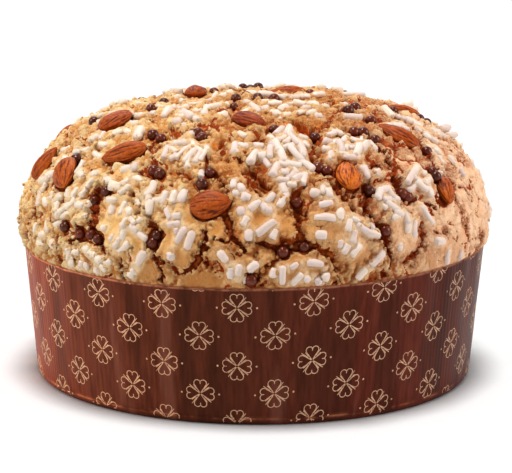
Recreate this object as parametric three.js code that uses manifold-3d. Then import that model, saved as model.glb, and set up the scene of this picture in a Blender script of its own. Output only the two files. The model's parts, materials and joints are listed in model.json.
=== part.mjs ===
// A low almond-glazed panettone in its round corrugated paper baking case.
// Millimetres, +Z up. The origin is the centre of the case's flat underside.
//
// Pieces:
//   paper_case  a shallow tapered cup of stiff laminated paper, with a glued foot crease, left on the cake
//   cake        the loaf, one uncut solid that fills the case and domes over its rim
//   almond_NN   whole skin-on almonds, each set in a pocket of the glaze

import * as THREE from "three";
import { mergeVertices } from "three/addons/utils/BufferGeometryUtils.js";
import Module from "manifold-3d";

// ---- Driving dimensions -------------------------------------------------------------------
const BASE_R = 101.8; // outer radius of the case just above its foot crease
const RIM_R = 107.5; // outer radius at the rim: a 215 mm case, the one-kilogram low size
const CASE_H = 62.3; // mean height of the rim
const RIM_TILT = 1.17; // the rim stands this much higher at +X, and lower at -X
const WALL = 1.1; // laminated corrugated paper
const FLOOR = 1.4;
const FOOT_H = 2.9; // height of the crease where the wall is glued to the base disc
const FOOT_IN = 1.3; // how far the foot is drawn in below that crease
const WAVE = 0.35; // the paper wall isn't quite round
const GAP = 0.3; // clearance between pieces that touch

const DOME_Z = 66; // height of the widest ring of the dome
const DOME_R = 108.5; // radius there, a little over the rim
const DOME_H = 61; // rise from there to the top
const DOME_N = 2.91; // superellipse powers of the dome's profile, across and up
const DOME_M = 2.33;
const LUMP = 0.45; // low swellings of the dough under the glaze
const HOLLOW = 1.1; // the top sinks this much a little left of centre
const BULGE = 1.3; // and stands this much higher on either side of that

const ALMOND_L = 22.0; // length, width and thickness of an average almond
const ALMOND_W = 13.4;
const ALMOND_T = 8.6;
const ALMOND_STATIONS = 7;
const ALMOND_SIDES = 10;

const CASE_SIDES = 120;
const CAKE_SIDES = 90;

// Each almond: bearing round the dome in degrees (0 is +X, anticlockwise from above), distance from the axis,
// twist of its point from level (90 is uphill), roll about its length, lean of its point into the glaze,
// share of its thickness that is buried, its size, and its width next to an average one's.
const ALMONDS = [
  { az: 193.6, r: 98.4, twist: 92, roll: 14, lean: 0, sunk: 0.42, size: 0.82, wide: 0.98 },
  { az: 210.3, r: 97.4, twist: -40, roll: 0, lean: 0, sunk: 0.42, size: 0.86, wide: 1.21 },
  { az: 200.8, r: 67.8, twist: 116, roll: 0, lean: 0, sunk: 0.42, size: 0.92, wide: 1.17 },
  { az: 227.6, r: 83.9, twist: 214, roll: 0, lean: 0, sunk: 0.42, size: 0.98, wide: 0.89 },
  { az: 136.8, r: 38.9, twist: 222, roll: 0, lean: 0, sunk: 0.42, size: 0.85, wide: 0.92 },
  { az: 258.8, r: 100.2, twist: 11, roll: 0, lean: 0, sunk: 0.42, size: 0.83, wide: 1.2 },
  { az: 266.5, r: 45.6, twist: -38, roll: 0, lean: 0, sunk: 0.42, size: 0.88, wide: 0.96 },
  { az: 59.1, r: 31.5, twist: 31, roll: 0, lean: 3, sunk: 0.55, size: 0.84, wide: 0.95 },
  { az: 296.1, r: 91.8, twist: 72, roll: 0, lean: 15, sunk: 0.42, size: 0.88, wide: 0.97 },
  { az: 328.6, r: 76.2, twist: 98, roll: 0, lean: 0, sunk: 0.42, size: 0.95, wide: 1.01 },
  { az: 10.0, r: 71.3, twist: 98, roll: 0, lean: 0, sunk: 0.5, size: 0.86, wide: 0.95 },
  { az: 326.8, r: 101.0, twist: -132, roll: 0, lean: -17, sunk: 0.45, size: 0.83, wide: 0.82 },
  // the far side, which is finished like the near one
  { az: 47.0, r: 88.0, twist: 35, roll: 0, lean: 0, sunk: 0.42, size: 0.9, wide: 1.0 },
  { az: 80.0, r: 84.0, twist: 150, roll: 0, lean: 4, sunk: 0.4, size: 0.96, wide: 0.94 },
  { az: 98.0, r: 104.5, twist: 78, roll: 0, lean: 0, sunk: 0.44, size: 0.88, wide: 1.08 },
  { az: 119.0, r: 90.0, twist: 12, roll: 6, lean: 0, sunk: 0.42, size: 0.94, wide: 1.0 },
  { az: 134.0, r: 100.0, twist: 128, roll: 0, lean: 0, sunk: 0.42, size: 0.86, wide: 1.12 },
  { az: 158.0, r: 97.0, twist: 62, roll: -6, lean: 0, sunk: 0.4, size: 0.92, wide: 0.98 },
];

// ---- Colours ------------------------------------------------------------------------------
const paperMaterial = new THREE.MeshStandardMaterial({
  color: 0x5a2e22,
  roughness: 0.5,
  metalness: 0,
});
const cakeMaterial = new THREE.MeshStandardMaterial({
  color: 0xd9a868,
  roughness: 0.8,
  metalness: 0,
});
const almondMaterial = new THREE.MeshStandardMaterial({
  color: 0xa0552a,
  roughness: 0.55,
  metalness: 0,
});

// ---- Small helpers ------------------------------------------------------------------------
const wasm = await Module();
wasm.setup();

const clamp01 = (t) => Math.min(1, Math.max(0, t));
const smooth = (a, b, x) => {
  const t = clamp01((x - a) / (b - a));
  return t * t * (3 - 2 * t);
};

function solidOf(geometry) {
  const g = geometry.index ? geometry.toNonIndexed() : geometry.clone();
  const bare = new THREE.BufferGeometry().setAttribute(
    "position",
    g.getAttribute("position"),
  );
  const merged = mergeVertices(bare, 1e-3);
  return new wasm.Manifold(
    new wasm.Mesh({
      numProp: 3,
      vertProperties: merged.attributes.position.array,
      triVerts: new Uint32Array(merged.index.array),
    }),
  );
}

function geometryOf(solid) {
  const mesh = solid.getMesh();
  const positions = new Float32Array(mesh.numVert * 3);
  for (let i = 0; i < mesh.numVert; i++)
    positions.set(
      mesh.vertProperties.subarray(i * mesh.numProp, i * mesh.numProp + 3),
      i * 3,
    );
  const g = new THREE.BufferGeometry();
  g.setAttribute("position", new THREE.BufferAttribute(positions, 3));
  g.setIndex(new THREE.BufferAttribute(new Uint32Array(mesh.triVerts), 1));
  g.computeVertexNormals();
  return g;
}

// LatheGeometry turns about Y; this stands its axis up along +Z.
function lathe(profile, sides) {
  const g = new THREE.LatheGeometry(
    profile.map(([r, z]) => new THREE.Vector2(r, z)),
    sides,
  );
  g.rotateX(Math.PI / 2);
  g.deleteAttribute("uv");
  g.deleteAttribute("normal");
  return mergeVertices(g, 1e-4);
}

function moveVertices(g, move) {
  const p = g.attributes.position;
  const v = new THREE.Vector3();
  for (let i = 0; i < p.count; i++) {
    v.fromBufferAttribute(p, i);
    move(v);
    p.setXYZ(i, v.x, v.y, v.z);
  }
  return g;
}

// The case leans and waves a little, and what it holds follows it.
const caseWave = (a) =>
  WAVE * (0.6 * Math.sin(3 * a + 0.7) + 0.4 * Math.sin(7 * a + 2.1));
function followCase(v) {
  const r = Math.hypot(v.x, v.y);
  if (r < 1e-6) return;
  const a = Math.atan2(v.y, v.x);
  const up = clamp01(v.z / CASE_H);
  const out = 1 + (caseWave(a) * up * smooth(60, 100, r)) / r;
  v.z += RIM_TILT * up * (v.x / RIM_R);
  v.x *= out;
  v.y *= out;
}

// ---- The paper case -----------------------------------------------------------------------
const wallAt = (z) => BASE_R + ((RIM_R - BASE_R) * z) / CASE_H;

function makeCase() {
  const profile = [
    [0, 0],
    [BASE_R - FOOT_IN, 0],
    [wallAt(FOOT_H) - 0.25, FOOT_H * 0.82],
    [wallAt(FOOT_H), FOOT_H],
    [RIM_R, CASE_H],
    [RIM_R - WALL, CASE_H],
    [wallAt(FLOOR) - WALL, FLOOR],
    [0, FLOOR],
  ];
  return moveVertices(lathe(profile, CASE_SIDES), followCase);
}

// ---- The dome -----------------------------------------------------------------------------
// A point of the smooth dome at angle phi up from its widest ring, and the outward normal there.
function domePoint(phi, a) {
  const r = DOME_R * Math.pow(Math.cos(phi), 2 / DOME_N);
  const z = DOME_Z + DOME_H * Math.pow(Math.sin(phi), 2 / DOME_M);
  return new THREE.Vector3(r * Math.cos(a), r * Math.sin(a), z);
}
function domeNormal(p) {
  const r = Math.hypot(p.x, p.y);
  const h = Math.max(p.z - DOME_Z, 0);
  const gr = (DOME_N / DOME_R) * Math.pow(r / DOME_R, DOME_N - 1);
  const gz = (DOME_M / DOME_H) * Math.pow(h / DOME_H, DOME_M - 1);
  const x = r > 1e-9 ? p.x / r : 0;
  const y = r > 1e-9 ? p.y / r : 0;
  return new THREE.Vector3(gr * x, gr * y, gz).normalize();
}
const phiAtRadius = (r) => Math.acos(Math.pow(r / DOME_R, DOME_N / 2));

// Low swellings of the crust, a broad hollow at the top and a bulge on either side of it.
const hump = (p, x, y, sx, sy) =>
  Math.exp(
    -((p.x - x) ** 2 / (2 * sx * sx) + (p.y - y) ** 2 / (2 * sy * sy)),
  );
const swelling = (p) =>
  LUMP * Math.sin(0.085 * p.x + 1.3) * Math.cos(0.095 * p.y - 0.4) +
  0.9 * LUMP * Math.sin(0.12 * p.x - 0.09 * p.y + 0.05 * p.z + 2.2) -
  HOLLOW * hump(p, -15, 12, 30, 34) +
  BULGE * hump(p, -72, 4, 26, 30) +
  0.85 * BULGE * hump(p, 38, 18, 13, 26);

function makeCake() {
  const wallIn = (z) => wallAt(z) - WALL - GAP;
  const profile = [
    [0, FLOOR + GAP],
    [wallIn(FLOOR) - 2.5, FLOOR + GAP],
    [wallIn(5) - 0.2, 5],
    [wallIn(CASE_H * 0.55), CASE_H * 0.55],
    [wallIn(CASE_H) - 0.1, CASE_H - 0.8],
    [wallIn(CASE_H) + 0.05, CASE_H + 0.9],
  ];
  const straight = profile.length;
  const rings = 15;
  for (let i = 0; i <= rings; i++) {
    // rings are closer together round the shoulder than near the flat top
    const phi = i === rings ? Math.PI / 2 : phiAtRadius(ringRadius(i / rings));
    const p = domePoint(phi, 0);
    profile.push([i === rings ? 0 : p.x, p.z]);
  }
  const foot = profile[straight][1];
  return moveVertices(lathe(profile, CAKE_SIDES), (v) => {
    if (v.z > foot - 0.5) {
      const n = domeNormal(v);
      const grown = smooth(foot, foot + 14, v.z);
      v.addScaledVector(n, grown * swelling(v));
    }
    followCase(v);
  });
}
// Radius of the dome's ring at a share t of the way from the widest ring to the top.
function ringRadius(t) {
  const table = [];
  const steps = 400;
  let length = 0;
  let last = domePoint(0, 0);
  for (let i = 0; i <= steps; i++) {
    const p = domePoint((i / steps) * (Math.PI / 2), 0);
    length += p.distanceTo(last);
    last = p;
    table.push([length, p.x]);
  }
  const want = t * length;
  for (let i = 1; i < table.length; i++)
    if (table[i][0] >= want) {
      const [l0, r0] = table[i - 1];
      const [l1, r1] = table[i];
      return r0 + ((r1 - r0) * (want - l0)) / (l1 - l0 || 1);
    }
  return 0;
}

// ---- Almonds ------------------------------------------------------------------------------
// Round at one end and pointed at the other, widest nearer the round end, along its own +X.
function almondGeometry(spec, grow) {
  const L = ALMOND_L * spec.size + 2 * grow;
  const W = ALMOND_W * spec.size * spec.wide + 2 * grow;
  const T = ALMOND_T * spec.size + 2 * grow;
  const peak = Math.pow(0.4, 0.5) * Math.pow(0.6, 0.75);
  const swell = (s) => (Math.pow(s, 0.5) * Math.pow(1 - s, 0.75)) / peak;
  const profile = [];
  for (let i = 0; i <= ALMOND_STATIONS; i++) {
    const s = 0.5 - 0.5 * Math.cos((Math.PI * i) / ALMOND_STATIONS);
    profile.push(
      new THREE.Vector2(
        i === 0 || i === ALMOND_STATIONS ? 0 : swell(s),
        s - 0.45,
      ),
    );
  }
  const g = new THREE.LatheGeometry(profile, ALMOND_SIDES);
  g.deleteAttribute("uv");
  g.deleteAttribute("normal");
  const m = mergeVertices(g, 1e-4);
  // the lathe's Y is the almond's length, its X the width and its Z the thickness
  return moveVertices(m, (v) => v.set(v.y * L, (-v.x * W) / 2, (v.z * T) / 2));
}

// Where an almond lies: its centre is on the glaze, pushed in by its buried share.
function almondFrame(spec) {
  const a = THREE.MathUtils.degToRad(spec.az);
  const p = domePoint(phiAtRadius(spec.r), a);
  const n = domeNormal(p);
  p.addScaledVector(n, smooth(DOME_Z, DOME_Z + 14, p.z) * swelling(p));
  const east = new THREE.Vector3(0, 0, 1).cross(n).normalize();
  const north = n.clone().cross(east);
  const t = THREE.MathUtils.degToRad(spec.twist);
  const along = east
    .clone()
    .multiplyScalar(Math.cos(t))
    .addScaledVector(north, Math.sin(t));
  const across = n.clone().cross(along);
  const basis = new THREE.Matrix4().makeBasis(along, across, n);
  basis.multiply(
    new THREE.Matrix4().makeRotationY(THREE.MathUtils.degToRad(spec.lean)),
  );
  basis.multiply(
    new THREE.Matrix4().makeRotationX(THREE.MathUtils.degToRad(spec.roll)),
  );
  const out = ALMOND_T * spec.size * (0.5 - spec.sunk);
  basis.setPosition(p.addScaledVector(n, out));
  return basis;
}

// ---- Assembly -----------------------------------------------------------------------------
const group = new THREE.Group();

const paperCase = new THREE.Mesh(makeCase(), paperMaterial);
paperCase.name = "paper_case";
group.add(paperCase);

let cakeSolid = solidOf(makeCake());
ALMONDS.forEach((spec, i) => {
  const frame = almondFrame(spec);
  const mesh = new THREE.Mesh(almondGeometry(spec, 0), almondMaterial);
  mesh.name = "almond_" + String(i + 1).padStart(2, "0");
  mesh.position.setFromMatrixPosition(frame);
  mesh.quaternion.setFromRotationMatrix(frame);
  group.add(mesh);
  const pocket = solidOf(almondGeometry(spec, GAP).applyMatrix4(frame));
  cakeSolid = cakeSolid.subtract(pocket);
});

const cake = new THREE.Mesh(geometryOf(cakeSolid), cakeMaterial);
cake.name = "cake";
group.add(cake);

export default group;
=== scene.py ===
import json
import math

import bpy
import numpy as np
from mathutils import Matrix, Vector

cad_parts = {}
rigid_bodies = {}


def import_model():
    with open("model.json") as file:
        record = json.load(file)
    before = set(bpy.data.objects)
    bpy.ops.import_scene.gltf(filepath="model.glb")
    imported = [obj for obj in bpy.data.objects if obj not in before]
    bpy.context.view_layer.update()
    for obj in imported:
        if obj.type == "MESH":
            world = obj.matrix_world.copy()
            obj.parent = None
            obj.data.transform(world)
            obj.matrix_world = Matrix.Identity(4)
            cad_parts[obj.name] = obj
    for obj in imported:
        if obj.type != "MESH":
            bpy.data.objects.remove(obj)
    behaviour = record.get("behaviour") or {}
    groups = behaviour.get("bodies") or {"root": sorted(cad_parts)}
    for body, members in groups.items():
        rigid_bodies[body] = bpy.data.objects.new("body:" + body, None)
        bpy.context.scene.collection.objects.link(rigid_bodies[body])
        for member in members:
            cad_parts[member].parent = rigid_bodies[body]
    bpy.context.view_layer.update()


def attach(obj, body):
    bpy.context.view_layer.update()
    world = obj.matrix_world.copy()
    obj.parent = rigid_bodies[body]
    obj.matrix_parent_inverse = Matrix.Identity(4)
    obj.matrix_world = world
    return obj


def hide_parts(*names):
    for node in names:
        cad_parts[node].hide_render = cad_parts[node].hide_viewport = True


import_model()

SCENE = bpy.context.scene
MM = 0.001

# ---------------------------------------------------------------- the loaf's form, as in the solids, in mm
BASE_R, RIM_R, CASE_H, RIM_TILT = 101.8, 107.5, 62.3, 1.17
WALL, FLOOR_T, FOOT_H, FOOT_IN, WAVE = 1.1, 1.4, 2.9, 1.3, 0.35
DOME_Z, DOME_R, DOME_H, DOME_N, DOME_M = 66.0, 108.5, 61.0, 2.91, 2.33
LUMP, HOLLOW, BULGE = 0.45, 1.1, 1.3
ALMOND_L, ALMOND_W, ALMOND_T = 22.0, 13.4, 8.6

# bearing, distance from the axis, twist, roll, lean, share buried, size, width
ALMONDS = [
    (193.6, 98.4, 92, 14, 0, 0.42, 0.82, 0.98),
    (210.3, 97.4, -40, 0, 0, 0.42, 0.86, 1.21),
    (200.8, 67.8, 116, 0, 0, 0.42, 0.92, 1.17),
    (227.6, 83.9, 214, 0, 0, 0.42, 0.98, 0.89),
    (136.8, 38.9, 222, 0, 0, 0.42, 0.85, 0.92),
    (258.8, 100.2, 11, 0, 0, 0.42, 0.83, 1.20),
    (266.5, 45.6, -38, 0, 0, 0.42, 0.88, 0.96),
    (59.1, 31.5, 31, 0, 3, 0.55, 0.84, 0.95),
    (296.1, 91.8, 72, 0, 15, 0.42, 0.88, 0.97),
    (328.6, 76.2, 98, 0, 0, 0.42, 0.95, 1.01),
    (10.0, 71.3, 98, 0, 0, 0.50, 0.86, 0.95),
    (326.8, 101.0, -132, 0, -17, 0.45, 0.83, 0.82),
    (47.0, 88.0, 35, 0, 0, 0.42, 0.90, 1.00),
    (80.0, 84.0, 150, 0, 4, 0.40, 0.96, 0.94),
    (98.0, 104.5, 78, 0, 0, 0.44, 0.88, 1.08),
    (119.0, 90.0, 12, 6, 0, 0.42, 0.94, 1.00),
    (134.0, 100.0, 128, 0, 0, 0.42, 0.86, 1.12),
    (158.0, 97.0, 62, -6, 0, 0.40, 0.92, 0.98),
]


def smooth(a, b, x):
    t = np.clip((x - a) / (b - a), 0.0, 1.0)
    return t * t * (3 - 2 * t)


def unit(v):
    return v / np.maximum(np.linalg.norm(v, axis=-1, keepdims=True), 1e-12)


# ---------------------------------------------------------------- noise, all from hashed lattices, so it is the same each run
GRADS = unit(np.random.RandomState(5).normal(size=(256, 3))).astype(np.float32)


def mix_hash(ix, iy, iz, seed):
    h = (
        ix.astype(np.uint32) * np.uint32(374761393)
        + iy.astype(np.uint32) * np.uint32(668265263)
        + iz.astype(np.uint32) * np.uint32(2246822519)
        + np.uint32((seed * 3266489917) & 0xFFFFFFFF)
    )
    h ^= h >> np.uint32(15)
    h *= np.uint32(2654435769)
    h ^= h >> np.uint32(13)
    h *= np.uint32(1274126177)
    h ^= h >> np.uint32(16)
    return h


def noise(p, wl, seed=0):
    q = (p / wl).astype(np.float32) + np.float32(100.37)
    i = np.floor(q).astype(np.int32)
    f = q - i
    u = f * f * f * (f * (f * 6 - 15) + 10)
    out = np.zeros(len(q), np.float32)
    for dx in (0, 1):
        wx = u[:, 0] if dx else 1 - u[:, 0]
        for dy in (0, 1):
            wy = u[:, 1] if dy else 1 - u[:, 1]
            for dz in (0, 1):
                wz = u[:, 2] if dz else 1 - u[:, 2]
                g = GRADS[mix_hash(i[:, 0] + dx, i[:, 1] + dy, i[:, 2] + dz, seed) & 255]
                d = g[:, 0] * (f[:, 0] - dx) + g[:, 1] * (f[:, 1] - dy) + g[:, 2] * (f[:, 2] - dz)
                out += wx * wy * wz * d
    return out * 1.7


def fbm(p, wl, octaves, seed=0, gain=0.5):
    out, amp = np.zeros(len(p), np.float32), 1.0
    for k in range(octaves):
        out += amp * noise(p, wl / 2**k, seed + 11 * k)
        amp *= gain
    return out


def cells(p, size, seed=0):
    """Distances to the nearest and next point of a jittered lattice, over size, and a number from 0 to 1 for the nearest."""
    q = (p / size).astype(np.float32) + np.float32(50.21)
    i = np.floor(q).astype(np.int32)
    near = np.full(len(q), 9.0, np.float32)
    nxt = near.copy()
    who = np.zeros(len(q), np.uint32)
    for dx in (-1, 0, 1):
        for dy in (-1, 0, 1):
            for dz in (-1, 0, 1):
                a, b, c = i[:, 0] + dx, i[:, 1] + dy, i[:, 2] + dz
                h = mix_hash(a, b, c, seed)
                fx = a + 0.1 + 0.8 * (h & 1023) / np.float32(1023) - q[:, 0]
                fy = b + 0.1 + 0.8 * ((h >> np.uint32(10)) & 1023) / np.float32(1023) - q[:, 1]
                fz = c + 0.1 + 0.8 * ((h >> np.uint32(20)) & 1023) / np.float32(1023) - q[:, 2]
                d = fx * fx + fy * fy + fz * fz
                closer = d < near
                nxt = np.where(closer, near, np.minimum(nxt, d))
                who = np.where(closer, h, who)
                near = np.where(closer, d, near)
    r = (mix_hash(who.astype(np.int64) & 0xFFFF, who.astype(np.int64) >> 16, who.astype(np.int64) * 0, seed + 3) & 4095) / np.float32(4095)
    return np.sqrt(near), np.sqrt(nxt), r


# ---------------------------------------------------------------- dome
def dome_normal(p):
    r = np.hypot(p[:, 0], p[:, 1])
    h = np.maximum(p[:, 2] - DOME_Z, 0)
    gr = (DOME_N / DOME_R) * (r / DOME_R) ** (DOME_N - 1)
    gz = (DOME_M / DOME_H) * (h / DOME_H) ** (DOME_M - 1)
    k = gr / np.maximum(r, 1e-9)
    return unit(np.stack([k * p[:, 0], k * p[:, 1], gz], 1))


def hump(p, x, y, sx, sy):
    return np.exp(-((p[:, 0] - x) ** 2 / (2 * sx * sx) + (p[:, 1] - y) ** 2 / (2 * sy * sy)))


def swelling(p):
    x, y, z = p.T
    return (
        LUMP * np.sin(0.085 * x + 1.3) * np.cos(0.095 * y - 0.4)
        + 0.9 * LUMP * np.sin(0.12 * x - 0.09 * y + 0.05 * z + 2.2)
        - HOLLOW * hump(p, -15, 12, 30, 34)
        + BULGE * hump(p, -72, 4, 26, 30)
        + 0.85 * BULGE * hump(p, 38, 18, 13, 26)
    ) * smooth(DOME_Z, DOME_Z + 14, z)


def case_wave(a):
    return WAVE * (0.6 * np.sin(3 * a + 0.7) + 0.4 * np.sin(7 * a + 2.1))


def follow_case(p):
    """The case leans and waves a little, and what it holds follows it."""
    r = np.hypot(p[:, 0], p[:, 1])
    a = np.arctan2(p[:, 1], p[:, 0])
    up = np.clip(p[:, 2] / CASE_H, 0, 1)
    out = 1 + case_wave(a) * up * smooth(60, 100, r) / np.maximum(r, 1e-6)
    return np.stack([p[:, 0] * out, p[:, 1] * out, p[:, 2] + RIM_TILT * up * p[:, 0] / RIM_R], 1)


def wall_at(z):
    return BASE_R + (RIM_R - BASE_R) * z / CASE_H


# ---------------------------------------------------------------- camera: fitted to the rim and the base of the case
W, H = 512, 473
CAM_D, CAM_E, CAM_F = 1200.0, math.radians(12.307), 2557.34
CAM_X, CAM_Z, CAM_ROLL = -1.70, 62.014, math.radians(0.401)
BACK = np.array([0, -math.cos(CAM_E), math.sin(CAM_E)])
CAM_AT = np.array([0, 0, CAM_Z]) + BACK * CAM_D
CAM_RIGHT = np.array([1.0, 0, 0])
CAM_UP = np.cross(CAM_RIGHT, -BACK)


def rays(px):
    px = np.atleast_2d(np.asarray(px, float))
    e = px - [256, 236.5]
    c, s = math.cos(CAM_ROLL), math.sin(CAM_ROLL)
    qx = 256 + e[:, 0] * c + e[:, 1] * s
    qy = 236.5 - e[:, 0] * s + e[:, 1] * c
    d = -BACK * CAM_F + (qx - W / 2 - CAM_X)[:, None] * CAM_RIGHT - (qy - H / 2)[:, None] * CAM_UP
    return unit(d)


def outside(p):
    """Above 0 outside the dome, below 0 inside, in units that only matter near 0."""
    q = p.copy()
    q[:, 2] -= RIM_TILT * np.clip(p[:, 2] / CASE_H, 0, 1) * p[:, 0] / RIM_R
    q = q - dome_normal(q) * swelling(q)[:, None]
    r = np.hypot(q[:, 0], q[:, 1])
    h = np.maximum(q[:, 2] - DOME_Z, 0)
    return (r / DOME_R) ** DOME_N + (h / DOME_H) ** DOME_M - 1


def on_dome(px):
    """Where the photograph's pixels fall on the dome: points on the plain dome, before it leans and swells."""
    d = rays(px)
    ts = np.arange(CAM_D - 125, CAM_D + 60, 1.0)
    best = np.full(len(d), np.nan)
    low = np.full(len(d), 1e9)
    for t in ts:
        v = outside(CAM_AT + d * t)
        best = np.where(np.isnan(best) & (v < 0), t, best)
        lowest = v < low
        low = np.where(lowest, v, low)
        if t == ts[0]:
            graze = np.full(len(d), t)
        graze = np.where(lowest, t, graze)
    hit = ~np.isnan(best)
    a, b = np.where(hit, best - 1, graze), np.where(hit, best, graze)
    for _ in range(24):
        m = (a + b) / 2
        v = outside(CAM_AT + d * m[:, None])
        b = np.where(v < 0, m, b)
        a = np.where(v < 0, a, m)
    p = CAM_AT + d * b[:, None]
    p[:, 2] -= RIM_TILT * np.clip(p[:, 2] / CASE_H, 0, 1) * p[:, 0] / RIM_R
    p = p - dome_normal(p) * swelling(p)[:, None]
    return p


# ---------------------------------------------------------------- almonds: where each lies
def rot_x(t):
    c, s = math.cos(t), math.sin(t)
    return np.array([[1, 0, 0], [0, c, -s], [0, s, c]])


def rot_y(t):
    c, s = math.cos(t), math.sin(t)
    return np.array([[c, 0, s], [0, 1, 0], [-s, 0, c]])


def almond_frame(spec):
    az, r, twist, roll, lean, sunk, size, wide = spec
    a = math.radians(az)
    phi = math.acos((r / DOME_R) ** (DOME_N / 2))
    p = np.array([[r * math.cos(a), r * math.sin(a), DOME_Z + DOME_H * math.sin(phi) ** (2 / DOME_M)]])
    n = dome_normal(p)[0]
    p = p[0] + n * swelling(p)[0]
    east = np.cross([0, 0, 1], n)
    east /= np.linalg.norm(east)
    north = np.cross(n, east)
    t = math.radians(twist)
    along = east * math.cos(t) + north * math.sin(t)
    axes = np.stack([along, np.cross(n, along), n], 1) @ rot_y(math.radians(lean)) @ rot_x(math.radians(roll))
    return axes, p + n * ALMOND_T * size * (0.5 - sunk), n


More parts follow.
